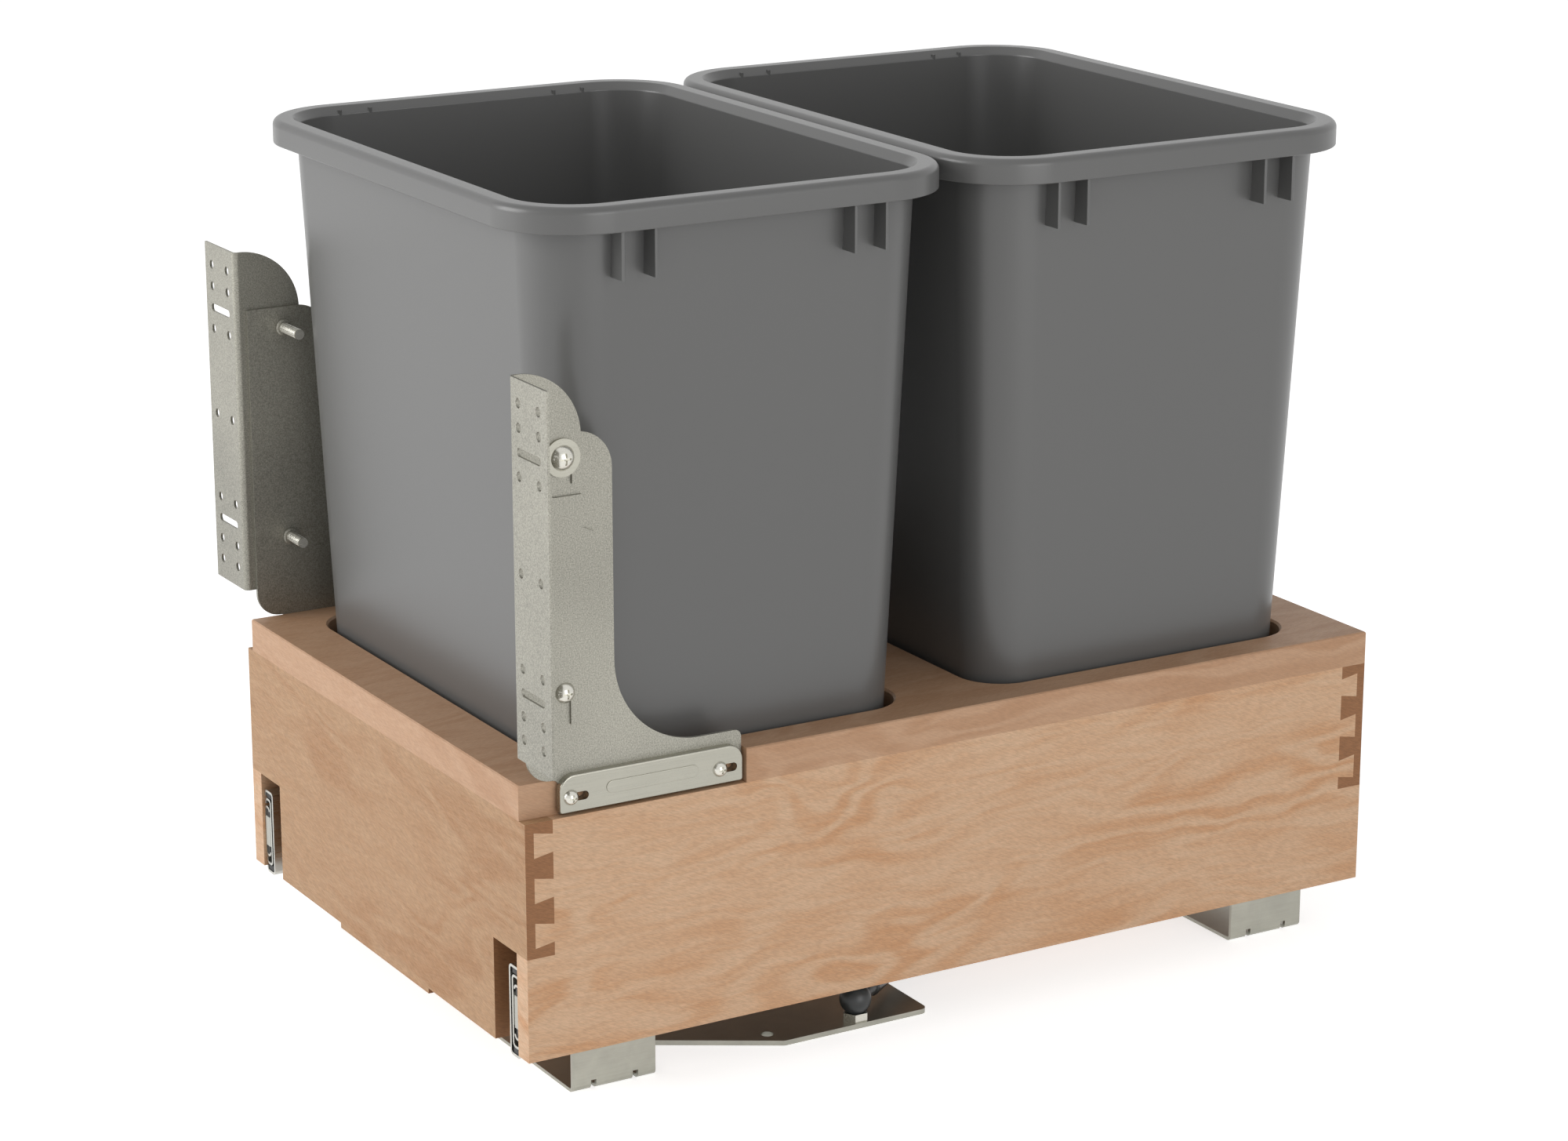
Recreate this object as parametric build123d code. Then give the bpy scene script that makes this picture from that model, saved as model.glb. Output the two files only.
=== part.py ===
from build123d import *
import os
from math import atan, cos, pi, radians, sin

os.makedirs("parts", exist_ok=True)

# Pull out bin frame: a dovetailed wood box on two ball bearing slides carries two bins,
# and two adjustable brackets on its front carry the cabinet door.
# Millimetres. X is the width, minus Y is the door side, Z is up and the cabinet floor is at zero.

# Waste bins
rim_width = 365.0
rim_depth = 266.0
rim_radius = 49.0
rim_skirt = 14.2
rim_overhang = 13.2
rim_round = 4.0
rim_bevel_width = 3.9
rim_bevel_height = 4.5
rim_crest_round = 1.2
bin_gap = 4.6
bin_height = 454.0
bin_wall = 2.2
bin_floor = 3.0
bin_taper = 18.2
bin_foot_radius = 27.0
bin_bottom_round = 5.0
fin_thickness = 1.9
fin_drop = 26.0
fin_inner_offset = 60.5
fin_outer_offset = 79.8

# Wood box, sized by the two bins that it carries
rim_side_margin = 0.3
rim_end_margin = 11.1
frame_width = rim_width + 2 * rim_side_margin
frame_depth = 2 * rim_depth + bin_gap + 2 * rim_end_margin
floor_gap = 35.4
top_panel_thickness = 19.5
side_panel_height = 135.4
side_panel_thickness = 12.4
end_panel_thickness = 16.6
bottom_panel_thickness = 5.8
bottom_rebate = 8.0
notch_width = 27.7
notch_height = 59.1
tab_width = 118.0
tab_drop = 3.1
tail_count = 3
tail_length = 11.4
tail_root_height = 10.1
tail_end_height = 14.3
opening_clearance = 3.0
opening_radius = 26.0
opening_chamfer = 1.2
edge_ease = 0.7

# Ball bearing slides
slide_setback = 1.5
slide_rear_setback = 1.3
slide_depth = frame_depth - slide_setback - slide_rear_setback
slide_height = 52.7
slide_thickness = 12.7
slide_drop = 3.2
slide_overlap = 56.0
travel = slide_depth - slide_overlap
cabinet_sheet = 1.5
middle_sheet = 1.4
drawer_sheet = 1.4
cabinet_reach = 12.0
middle_inset = 3.2
middle_reach = 11.6
drawer_inset = 5.4
cabinet_lip = 3.9
middle_lip = 3.9
drawer_lip = 3.0
section_radius = 3.0
ball_diameter = 3.6
ball_clearance = 0.05
ball_count = 10
cage_end_gap = 9.8
cage_width = 4.4
cage_sheet = 0.8
cage_pocket_clearance = 0.1
middle_rear_inset = 6.2
end_block_height = 18.7
end_block_depth = 14.0
end_block_reach = 5.2
end_block_round = 1.2
bumper_depth = 5.6
bumper_height = 24.0

# Feet
foot_sheet = 2.0
front_foot_setback = 38.8
rear_foot_inset = 21.8
foot_width = 51.8
foot_height = 80.0
foot_reach = 103.7
foot_bend_radius = 3.4
foot_corner_radius = 6.0
foot_notch_width = 3.3
foot_notch_height = 5.5
foot_notch_shares = (0.253, 0.755)
foot_hole_radius = 2.6
foot_hole_near = 27.7
foot_hole_far = 87.7
rivet_radius = 2.4
rivet_head_radius = 4.4
rivet_head = 1.2
rivet_fit = 0.05

# Recess and clamp for the door arms
recess_length = 134.9
recess_depth = 7.0
sheet_gap = 0.05
arm_sheet = 2.0
arm_setback = 4.6
arm_width = 52.6
arm_rise = 188.1
arm_top_radius = 21.0
arm_chin_radius = 14.0
arm_throat_radius = 51.6
arm_foot_setback = 23.4
arm_foot_rise = 9.8
arm_foot_fillet = 4.4
arm_foot_round = 4.2
arm_foot_end_gap = 0.6
arm_foot_lift = 0.5
arm_chin_lift = 0.3
clamp_setback = 21.7
clamp_length = 111.3
clamp_height = 20.9
clamp_thickness = 4.2
clamp_lift = 1.6
clamp_corner = 8.8
clamp_small_corner = 1.5
clamp_edge_round = 0.9
clamp_bar_length = 56.0
clamp_bar_width = 7.0
clamp_bar_height = 0.5
clamp_bar_round = 0.3
clamp_screw_front = 6.4
clamp_screw_rear = 14.3
clamp_screw_height = 8.6
clamp_slot_width = 4.8
clamp_travel = 8.2
clamp_screw_radius = 2.1
clamp_screw_head_radius = 4.3
clamp_screw_head = 3.3
clamp_screw_bite = 13.0

# Door brackets
bracket_sheet = 1.4
bracket_lead = 2.1
bracket_rise = 17.4
bracket_height = 205.4
flange_width = 42.3
bend_radius = 3.2
side_upper_depth = 40.6
side_step_depth = 47.9
side_lower_depth = 52.8
side_top_radius = 36.5
side_lower_lift = 12.7
side_slant_lift = 77.9
side_step_low_lift = 116.2
side_step_top_lift = 119.6
window_width = 12.0
window_lift = 137.4
window_height = 27.0
window_mouth = 6.2
window_round = 1.2
hook_slot_width = 6.8
hook_slot_top_gap = 5.6
flange_hole_radius = 2.7
flange_hole_inner = 10.6
flange_hole_outer = 33.0
flange_row_offsets = (0, 51.5, 77.3, 90.2)
flange_slot_offset = 64.4
flange_slot_length = 26.6
flange_slot_width = 4.7
bolt_setback = 27.0
upper_bolt_lift = 158.5
lower_bolt_lift = 30.8
bolt_radius = 3.0
bolt_fit = 0.05
upper_head_radius = 6.8
upper_head = 4.4
upper_bolt_reach = 24.0
lower_head_radius = 5.7
lower_head = 4.0
lower_bolt_reach = 19.0
washer_radius = 10.3
washer_thickness = 1.5
boss_radius = 5.0
boss_height = 2.2
boss_round = 1.0

# Cross recess of the screws
cross_width = 1.1
cross_span_share = 0.95
cross_depth_share = 0.45

# Screws that hold the drawer members to the side panels
wood_screw_radius = 1.9
wood_screw_head_radius = 4.0
wood_screw_head = 1.7
wood_screw_bite = 9.0
wood_screw_shares = (0.1, 0.5, 0.9)
wood_fit = 0.05

# Base plate and gas strut, placed from the box's side and from its front
plate_thickness = 3.0
plate_side_inset = 23.8
plate_chamfer_inset = 62.8
plate_inner_inset = 162.8
plate_chamfer_setback = 108.35
plate_shoulder_setback = 173.15
plate_rear_setback = 268.55
plate_corner = 4.5
plate_hole_radius = 3.6
plate_hole_inset = 37.3
plate_far_hole_inset = 141.3
plate_hole_setback = 169.35
stud_side_inset = 31.8
stud_setback = 224.35
stud_hex_width = 13.6
stud_hex_height = 4.8
stud_neck_radius = 2.8
stud_ball_radius = 5.0
strut_height = 15.2
strut_angle = 36.0
socket_radius = 9.2
socket_fit = 0.05
socket_nut_gap = 0.2
socket_mouth_radius = 4.3
socket_neck_radius = 5.4
socket_neck_length = 20.0
cylinder_radius = 6.5
cylinder_length = 148.0
cylinder_wall = 1.2
cylinder_round = 1.5
gland_length = 8.0
rod_radius = 3.0
rod_fit = 0.05
piston_length = 10.0
piston_fit = 0.05
rod_end_radius = 8.0
rod_end_height = 13.4
rod_end_cup_radius = 4.6
rod_end_cup_depth = 5.0
rod_end_round = 1.5
rod_end_neck_radius = 4.6
rod_end_neck_length = 13.0
open_pivot_gap = 0.8
hanger_hex_height = 4.0
hanger_ball_radius = 3.0
hanger_neck_radius = 2.2

# A cut runs this far past the surface it opens
overrun = 5.0

# Places that follow from the sizes above
centre_y = bracket_lead / 2
front_y = centre_y - frame_depth / 2
rear_y = centre_y + frame_depth / 2
half_width = frame_width / 2
side_top = floor_gap + side_panel_height
wood_top = side_top + top_panel_thickness
notch_top = floor_gap + notch_height
side_inner_x = half_width - side_panel_thickness
slide_web_x = side_inner_x - slide_thickness
rail_x = side_inner_x - notch_width
slide_front_y = front_y + slide_setback
slide_rear_y = slide_front_y + slide_depth
slide_z = floor_gap - slide_drop + slide_height / 2
bin_bottom = floor_gap + bottom_panel_thickness
bin_top = bin_bottom + bin_height
bin_offset_y = (rim_depth + bin_gap) / 2
panel_share = (bin_top - wood_top) / bin_height
opening_inset = rim_overhang + bin_taper * panel_share - opening_clearance
opening_width = rim_width - 2 * opening_inset
opening_depth = rim_depth - 2 * opening_inset
recess_x = half_width - recess_depth
arm_x = recess_x + sheet_gap
bracket_x = arm_x + arm_sheet + sheet_gap
bracket_front_y = front_y - bracket_lead
bracket_bottom = wood_top + bracket_rise
bolt_y = front_y + bolt_setback
clamp_x = arm_x + arm_sheet + sheet_gap
clamp_front_y = front_y + clamp_setback
clamp_bottom = side_top + clamp_lift
clamp_screw_z = clamp_bottom + clamp_screw_height
foot_x = slide_web_x - foot_sheet
cage_length = slide_depth - middle_rear_inset - travel / 2 - cage_end_gap
plate_outer_x = half_width - plate_side_inset
plate_chamfer_x = half_width - plate_chamfer_inset
plate_inner_x = half_width - plate_inner_inset
plate_rear_y = front_y + plate_rear_setback
plate_shoulder_y = front_y + plate_shoulder_setback
plate_chamfer_y = front_y + plate_chamfer_setback
plate_hole_y = front_y + plate_hole_setback
stud_x = half_width - stud_side_inset
stud_y = front_y + stud_setback
strut_length = travel / (2 * cos(radians(strut_angle)))
swing_degrees = 180 - 2 * strut_angle


def rect(a_low, a_high, b_low, b_high):
    """Rectangle between two corners, in its own plane."""
    return Pos((a_low + a_high) / 2, (b_low + b_high) / 2) * Rectangle(a_high - a_low, b_high - b_low)


def block(x_low, x_high, y_low, y_high, z_low, z_high):
    """Box between two corners."""
    size = Box(x_high - x_low, y_high - y_low, z_high - z_low)
    return Pos((x_low + x_high) / 2, (y_low + y_high) / 2, (z_low + z_high) / 2) * size


def slab_x(sketch, x_low, thickness):
    """Plate whose outline is drawn with Y and Z, standing from x_low towards plus X."""
    return extrude(Plane((x_low, 0, 0), x_dir=(0, 1, 0), z_dir=(1, 0, 0)) * sketch, thickness)


def slab_z(sketch, z_low, thickness):
    """Plate whose outline is drawn with X and Y, standing from z_low upwards."""
    return extrude(Plane((0, 0, z_low)) * sketch, thickness)


def rail_y(sketch, y_low, length):
    """Bar whose section is drawn with X and Z, running from y_low towards plus Y."""
    return extrude(Plane((0, y_low, 0), x_dir=(1, 0, 0), z_dir=(0, -1, 0)) * sketch, -length)


def rod_x(x_low, x_high, y, z, radius):
    """Round bar along X."""
    middle = (x_low + x_high) / 2
    return Pos(middle, y, z) * Rot(0, 90, 0) * Cylinder(radius, x_high - x_low)


def rod_y(x, y_low, y_high, z, radius):
    """Round bar along Y."""
    middle = (y_low + y_high) / 2
    return Pos(x, middle, z) * Rot(90, 0, 0) * Cylinder(radius, y_high - y_low)


def rod_z(x, y, z_low, z_high, radius):
    """Round bar along Z."""
    return Pos(x, y, (z_low + z_high) / 2) * Cylinder(radius, z_high - z_low)


def rounded(sketch, corners):
    """Round the corners nearest to each (a, b, radius)."""
    for a, b, radius in corners:
        corner = sketch.vertices().sort_by_distance((a, b, 0))[0]
        sketch = fillet(corner, radius)
    return sketch


def outline(points):
    """Closed face through the points."""
    return make_face(Polyline(*points, close=True))


def left(shape):
    """Mirror image on the other side of the frame."""
    return mirror(shape, about=Plane.YZ)


# Wood box


def top_panel():
    """Top panel with an opening for each bin and a recess on each side for the door arms."""
    panel = block(-half_width, half_width, front_y, rear_y, side_top, wood_top)
    for side in (-1, 1):
        hole = slab_z(RectangleRounded(opening_width, opening_depth, opening_radius),
                      side_top - overrun, top_panel_thickness + 2 * overrun)
        panel -= Pos(0, centre_y + side * bin_offset_y, 0) * hole
    top_face = panel.faces().sort_by(Axis.Z)[-1]
    inner_edges = [edge for wire in top_face.inner_wires() for edge in wire.edges()]
    panel = chamfer(inner_edges, opening_chamfer)
    panel = chamfer(panel.faces().sort_by(Axis.Z)[-1].outer_wire().edges(), edge_ease)
    recess = block(recess_x, half_width + overrun, front_y - overrun, front_y + recess_length,
                   side_top - overrun, wood_top + overrun)
    panel -= recess + left(recess)
    hole = clamp_screw_holes()
    return panel - hole - left(hole)


def clamp_screw_places():
    """Y of the front and rear clamp screws."""
    clamp_rear_y = clamp_front_y + clamp_length
    return clamp_front_y + clamp_screw_front, clamp_rear_y - clamp_screw_rear


def clamp_screw_holes():
    """Pilot holes of the right hand clamp screws."""
    deep_x = recess_x - clamp_screw_bite
    return Part() + [rod_x(deep_x, recess_x + overrun, y, clamp_screw_z, clamp_screw_radius + wood_fit)
                     for y in clamp_screw_places()]


def tail_outline():
    """The dovetails of one end of a side panel, drawn with distance from the joint line and height."""
    pitch = (side_top - notch_top) / tail_count
    tails = Sketch()
    for index in range(tail_count):
        height = notch_top + pitch * (index + 0.5)
        tails += outline([(0, height - tail_root_height / 2), (tail_length, height - tail_end_height / 2),
                          (tail_length, height + tail_end_height / 2), (0, height + tail_root_height / 2)])
    return tails


def tails(depth):
    """Dovetails at the front end of the right side panel, as deep as the panel is thick."""
    joint_y = front_y + end_panel_thickness
    flat = mirror(tail_outline(), about=Plane.YZ)
    return slab_x(Pos(joint_y, 0) * flat, half_width - depth, depth)


def both_ends(shape):
    """The shape and its mirror image at the other end of the frame."""
    return shape + mirror(shape, about=Plane.XZ.offset(-centre_y))


def side_panel():
    """Right side panel: full length below, shouldered above, with dovetails at both ends."""
    low = block(side_inner_x, half_width, front_y, rear_y, floor_gap, notch_top)
    high = block(side_inner_x, half_width, front_y + end_panel_thickness, rear_y - end_panel_thickness,
                 notch_top, side_top)
    return low + high + both_ends(tails(side_panel_thickness)) - drawer_screw_holes()


def drawer_screw_places():
    """Y of the screws through the drawer member."""
    return [slide_front_y + slide_depth * share for share in wood_screw_shares]


def drawer_screw_holes():
    """Pilot holes in the right side panel."""
    deep_x = side_inner_x + wood_screw_bite
    return Part() + [rod_x(side_inner_x - overrun, deep_x, y, slide_z, wood_screw_radius + wood_fit)
                     for y in drawer_screw_places()]


def end_panel():
    """Front panel: wide above the slides, narrow between them, with sockets for the dovetails."""
    inner_y = front_y + end_panel_thickness
    wide = block(-half_width, half_width, front_y, inner_y, notch_top, side_top)
    narrow = block(-rail_x, rail_x, front_y, inner_y, floor_gap, notch_top)
    tab = block(-tab_width / 2, tab_width / 2, front_y, inner_y - bottom_rebate,
                floor_gap - tab_drop, floor_gap)
    rebate = block(-rail_x - overrun, rail_x + overrun, inner_y - bottom_rebate, inner_y + overrun,
                   floor_gap - overrun, bin_bottom)
    socket = tails(side_panel_thickness)
    return wide + narrow + tab - rebate - socket - left(socket)


def bottom_panel():
    """Plywood bottom that the bins stand on, let into the front and rear panels."""
    reach = end_panel_thickness - bottom_rebate
    panel = block(-rail_x, rail_x, front_y + reach, rear_y - reach, floor_gap, bin_bottom)
    x, y = hanger_place()
    return panel - rod_z(x, y, floor_gap - overrun, bin_bottom + overrun, hanger_neck_radius + wood_fit)


# Bins


def bin_sections(inset, bottom_z):
    """Loft of a bin's tapered body, drawn in by inset all round, from bottom_z to the rim."""
    top_width = rim_width - 2 * rim_overhang
    top_depth = rim_depth - 2 * rim_overhang
    top_radius = rim_radius - rim_overhang
    share = (bin_top - bottom_z) / bin_height
    draw_in = 2 * (inset + bin_taper * share)
    low_radius = top_radius + (bin_foot_radius - top_radius) * share - inset
    low = RectangleRounded(top_width - draw_in, top_depth - draw_in, low_radius)
    high = RectangleRounded(top_width - 2 * inset, top_depth - 2 * inset, top_radius - inset)
    return loft([Plane((0, 0, bottom_z)) * low, Plane((0, 0, bin_top)) * high])


def rim_flat(inset):
    """Outline of the rim, drawn in by inset all round."""
    return RectangleRounded(rim_width - 2 * inset, rim_depth - 2 * inset, rim_radius - inset)


def rim_solid(inset, z_low, z_high):
    """Upright ring blank of the rim, drawn in by inset all round."""
    return slab_z(rim_flat(inset), z_low, z_high - z_low)


def rim_shoulder():
    """Flare that carries the rim out from the body, as steep as the bevel inside."""
    top_z = bin_top - bin_wall
    low = Plane((0, 0, top_z - rim_bevel_height)) * rim_flat(rim_overhang)
    return loft([low, Plane((0, 0, top_z)) * rim_flat(rim_overhang - rim_bevel_width)])


def fins():
    """Upright ribs under the rim on both ends of a bin."""
    reach_x = rim_width / 2 - bin_wall
    skirt_z = bin_top - rim_skirt
    ribs = Part()
    for offset in (-fin_outer_offset, -fin_inner_offset, fin_inner_offset, fin_outer_offset):
        ribs += block(-reach_x, reach_x, offset - fin_thickness / 2, offset + fin_thickness / 2,
                      skirt_z - fin_drop, bin_top - bin_wall)
    return ribs


def waste_bin():
    """Tapered bin with a turned down rim, about its own centre line."""
    shell = bin_sections(0, bin_bottom)
    shell = fillet(shell.faces().sort_by(Axis.Z)[0].edges(), bin_bottom_round)
    skirt_z = bin_top - rim_skirt
    rim = rim_solid(0, skirt_z, bin_top)
    rim = fillet(rim.faces().sort_by(Axis.Z)[-1].edges(), rim_round)
    rim -= rim_solid(bin_wall, skirt_z - overrun, bin_top - bin_wall)
    whole = rim + shell + rim_shoulder() + fins() - bin_sections(bin_wall, bin_bottom + bin_floor)
    top_face = whole.faces().sort_by(Axis.Z)[-1]
    whole = chamfer(top_face.inner_wires()[0].edges(), rim_bevel_width, rim_bevel_height,
                    reference=top_face)
    crest = whole.faces().sort_by(Axis.Z)[-1].inner_wires()[0].edges()
    return fillet(crest, rim_crest_round)


def placed_bin(side):
    """A bin in its opening, side -1 in front and 1 behind."""
    return Pos(0, centre_y + side * bin_offset_y, 0) * waste_bin()


# Slides, drawn for the right side with X measured from the web of the cabinet member


def channel(x_low, x_high, height, sheet, lip, web_low):
    """Section of a lipped channel, with its web at x_low where web_low is true, else at x_high."""
    centre = (x_low + x_high) / 2
    width = x_high - x_low
    shell = Pos(centre, 0) * RectangleRounded(width, height, section_radius)
    shell -= Pos(centre, 0) * RectangleRounded(width - 2 * sheet, height - 2 * sheet, section_radius - sheet)
    gap = height / 2 - lip
    if web_low:
        return shell - rect(x_high - sheet - sheet / 2, x_high + overrun, -gap, gap)
    return shell - rect(x_low - overrun, x_low + sheet + sheet / 2, -gap, gap)


def slide_bar(section, y_low, y_high):
    """A slide section extruded in its place on the right side."""
    return rail_y(Pos(slide_web_x, slide_z) * section, y_low, y_high - y_low)


def middle_height():
    """Height of the middle member: a ball fits between it and the cabinet member."""
    return slide_height - 2 * (cabinet_sheet + ball_diameter + 2 * ball_clearance)


def drawer_height():
    """Height of the drawer member: a ball fits between it and the middle member."""
    return middle_height() - 2 * (middle_sheet + ball_diameter + 2 * ball_clearance)


def rivet_places():
    """Y of the rivets through the feet on one side."""
    places = []
    for y_low, y_high in foot_spans():
        width = y_high - y_low
        places += [y_low + width / 4, y_high - width / 4]
    return places


def cabinet_member():
    """Fixed member of the right slide."""
    section = channel(0, cabinet_reach, slide_height, cabinet_sheet, cabinet_lip, True)
    member = slide_bar(section, slide_front_y, slide_rear_y)
    for y in rivet_places():
        member -= rod_x(slide_web_x - overrun, slide_web_x + cabinet_sheet + ball_clearance, y, slide_z,
                        rivet_radius + rivet_fit)
    return member


def middle_member():
    """Intermediate member of the right slide."""
    section = channel(middle_inset, middle_reach, middle_height(), middle_sheet, middle_lip, True)
    return slide_bar(section, slide_front_y, slide_rear_y - middle_rear_inset)


def drawer_member():
    """Moving member of the right slide, screwed to the side panel."""
    section = channel(drawer_inset, slide_thickness, drawer_height(), drawer_sheet, drawer_lip, False)
    member = slide_bar(section, slide_front_y, slide_rear_y - middle_rear_inset)
    for y in drawer_screw_places():
        member -= rod_x(side_inner_x - drawer_sheet - ball_clearance, side_inner_x + overrun, y, slide_z,
                        wood_screw_radius + wood_fit)
    return member


def ball_line_places():
    """X of the centre line of the outer and the inner balls, from the cabinet member's web."""
    outer = (middle_inset + middle_reach) / 2
    inner = (drawer_inset + middle_reach - middle_sheet) / 2
    return outer, inner


def ball_line_heights():
    """Height of the outer and the inner balls above the middle of the slide."""
    outer = middle_height() / 2 + ball_clearance + ball_diameter / 2
    inner = drawer_height() / 2 + ball_clearance + ball_diameter / 2
    return outer, inner


def cage_span():
    """Front and rear ends of a ball cage at rest: it stays inside both members over the travel."""
    front = slide_front_y + travel / 4 + cage_sheet * 2
    return front, front + cage_length


def ball_places():
    """Y of the balls in a cage."""
    front, rear = cage_span()
    pitch = (rear - front) / ball_count
    return [front + pitch * (index + 0.5) for index in range(ball_count)]


def ball_cage(x, height):
    """Upper and lower strips of a cage, with a pocket for each ball."""
    front, rear = cage_span()
    pocket = ball_diameter / 2 + cage_pocket_clearance
    strips = Part()
    for side in (-1, 1):
        z = slide_z + side * height
        strip = block(slide_web_x + x - cage_width / 2, slide_web_x + x + cage_width / 2, front, rear,
                      z - cage_sheet / 2, z + cage_sheet / 2)
        for y in ball_places():
            strip -= rod_z(slide_web_x + x, y, z - overrun, z + overrun, pocket)
        strips += strip
    return strips


def balls(x, height):
    """Balls of the upper and lower rows."""
    places = [(slide_web_x + x, y, slide_z + side * height) for side in (-1, 1) for y in ball_places()]
    return Part() + [Pos(*place) * Sphere(ball_diameter / 2) for place in places]


def end_block():
    """Moulded block in the front end of the right drawer member."""
    x_high = slide_web_x + slide_thickness - drawer_sheet
    x_low = slide_web_x + end_block_reach
    body = block(x_low, x_high, slide_front_y, slide_front_y + end_block_depth,
                 slide_z - end_block_height / 2, slide_z + end_block_height / 2)
    return fillet(body.faces().sort_by(Axis.X)[0].edges(), end_block_round)


def rear_bumper():
    """Rubber block that the right middle member meets when the frame is closed."""
    x_low = slide_web_x + cabinet_sheet
    body = block(x_low, slide_web_x + middle_reach, slide_rear_y - bumper_depth, slide_rear_y,
                 slide_z - bumper_height / 2, slide_z + bumper_height / 2)
    return fillet(body.edges().filter_by(Axis.X), end_block_round)


def drawer_screws():
    """Screws that hold the right drawer member to its side panel."""
    face_x = side_inner_x - drawer_sheet
    screws = Part()
    for y in drawer_screw_places():
        shank = rod_x(face_x, side_inner_x + wood_screw_bite, y, slide_z, wood_screw_radius)
        head = rod_x(face_x - wood_screw_head, face_x, y, slide_z, wood_screw_head_radius)
        head = fillet(head.faces().sort_by(Axis.X)[0].edges(), wood_screw_head / 2)
        screws += shank + head - cross(face_x - wood_screw_head, y, slide_z, wood_screw_head_radius,
                                       wood_screw_head)
    return screws


def cross(face_x, y, z, head_radius, head_height):
    """Cross recess sunk along X into a head whose crown is at face_x."""
    span = head_radius * cross_span_share
    depth = head_height * cross_depth_share
    bar = Box(2 * depth, span, cross_width) + Box(2 * depth, cross_width, span)
    return Pos(face_x, y, z) * bar


# Feet


def foot_spans():
    """Front and rear ends of the front and the rear foot."""
    front = front_y + front_foot_setback
    rear = rear_y - rear_foot_inset
    return (front, front + foot_width), (rear - foot_width, rear)


def foot(y_low, y_high):
    """Bent foot on the right side: a flange beside the slide and a plate on the floor."""
    width = y_high - y_low
    wall = block(foot_x, slide_web_x, y_low, y_high, 0, foot_height)
    base = block(slide_web_x - foot_reach, slide_web_x, y_low, y_high, 0, foot_sheet)
    body = wall + base
    heel = body.edges().filter_by(Axis.Y).sort_by_distance((slide_web_x, (y_low + y_high) / 2, 0))[0]
    body = fillet(heel, foot_bend_radius)
    throat = body.edges().filter_by(Axis.Y).sort_by_distance((foot_x, (y_low + y_high) / 2, foot_sheet))[0]
    body = fillet(throat, foot_bend_radius - foot_sheet)
    top_corners = body.edges().filter_by(Axis.X).group_by(Axis.Z)[-1]
    toe_corners = body.edges().filter_by(Axis.Z).group_by(Axis.X)[0]
    body = fillet(top_corners + toe_corners, foot_corner_radius)
    for share in foot_notch_shares:
        y = y_low + width * share
        body -= block(foot_x - overrun, slide_web_x + overrun, y - foot_notch_width / 2,
                      y + foot_notch_width / 2, -overrun, foot_notch_height)
    for x in (slide_web_x - foot_hole_near, slide_web_x - foot_hole_far):
        body -= rod_z(x, (y_low + y_high) / 2, -overrun, foot_sheet + overrun, foot_hole_radius)
    for y in (y_low + width / 4, y_high - width / 4):
        body -= rod_x(foot_x - overrun, slide_web_x + overrun, y, slide_z, rivet_radius + rivet_fit)
    return body


def foot_rivets():
    """Rivets that join the right feet to the cabinet member."""
    rivets = Part()
    inner_x = slide_web_x + cabinet_sheet
    for y in rivet_places():
        rivets += rod_x(foot_x, inner_x, y, slide_z, rivet_radius)
        rivets += rod_x(foot_x - rivet_head, foot_x, y, slide_z, rivet_head_radius)
        rivets += rod_x(inner_x, inner_x + rivet_head, y, slide_z, rivet_head_radius)
    return rivets


# Door arms and brackets, drawn for the right side


def arm():
    """Upright arm with a long foot that lies in the recess."""
    front = front_y + arm_setback
    back = front + arm_width
    top = wood_top + arm_rise
    foot_top = wood_top + arm_foot_rise
    foot_front = front_y + arm_foot_setback
    foot_back = front_y + recess_length - arm_foot_end_gap
    chin = wood_top + arm_chin_lift
    low = side_top + arm_foot_lift
    flat = outline([(front, top), (back, top), (back, foot_top), (foot_back, foot_top), (foot_back, low),
                    (foot_front, low), (foot_front, chin), (front, chin)])
    flat = rounded(flat, [(back, top, arm_top_radius), (back, foot_top, arm_throat_radius),
                          (foot_back, foot_top, arm_foot_round), (foot_front, chin, arm_foot_fillet),
                          (front, chin, arm_chin_radius)])
    body = slab_x(flat - clamp_slots(), arm_x, arm_sheet)
    for z in bolt_heights():
        boss = rod_x(arm_x - boss_height, arm_x + arm_sheet / 2, bolt_y, z, boss_radius)
        body += fillet(boss.faces().sort_by(Axis.X)[0].edges(), boss_round)
        body -= rod_x(arm_x - overrun, arm_x + arm_sheet + overrun, bolt_y, z, bolt_radius + bolt_fit)
    return body


def bolt_heights():
    """Heights of the upper and the lower bolt."""
    return bracket_bottom + upper_bolt_lift, bracket_bottom + lower_bolt_lift


def clamp_slots():
    """Slots that let the arm and clamp plate slide past their two screws."""
    slots = Sketch()
    for y in clamp_screw_places():
        slots += Pos(y + clamp_travel / 2, clamp_screw_z) * SlotOverall(clamp_travel + clamp_slot_width,
                                                                        clamp_slot_width)
    return slots


def clamp_plate():
    """Plate that clamps the arm's foot, with a plain raised bar between its slots."""
    low, high = clamp_bottom, clamp_bottom + clamp_height
    front, back = clamp_front_y, clamp_front_y + clamp_length
    flat = rounded(rect(front, back, low, high), [(front, high, clamp_corner), (back, high, clamp_corner),
                                                  (front, low, clamp_small_corner),
                                                  (back, low, clamp_small_corner)])
    plate = slab_x(flat, clamp_x, clamp_thickness)
    plate = fillet(plate.faces().sort_by(Axis.X)[-1].edges(), clamp_edge_round)
    bar = slab_x(Pos((front + back) / 2, (low + high) / 2) * SlotOverall(clamp_bar_length, clamp_bar_width),
                 clamp_x + clamp_thickness / 2, clamp_thickness / 2 + clamp_bar_height)
    bar = fillet(bar.faces().sort_by(Axis.X)[-1].edges(), clamp_bar_round)
    return plate + bar - slab_x(clamp_slots(), clamp_x - overrun, clamp_thickness + 2 * overrun)


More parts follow.
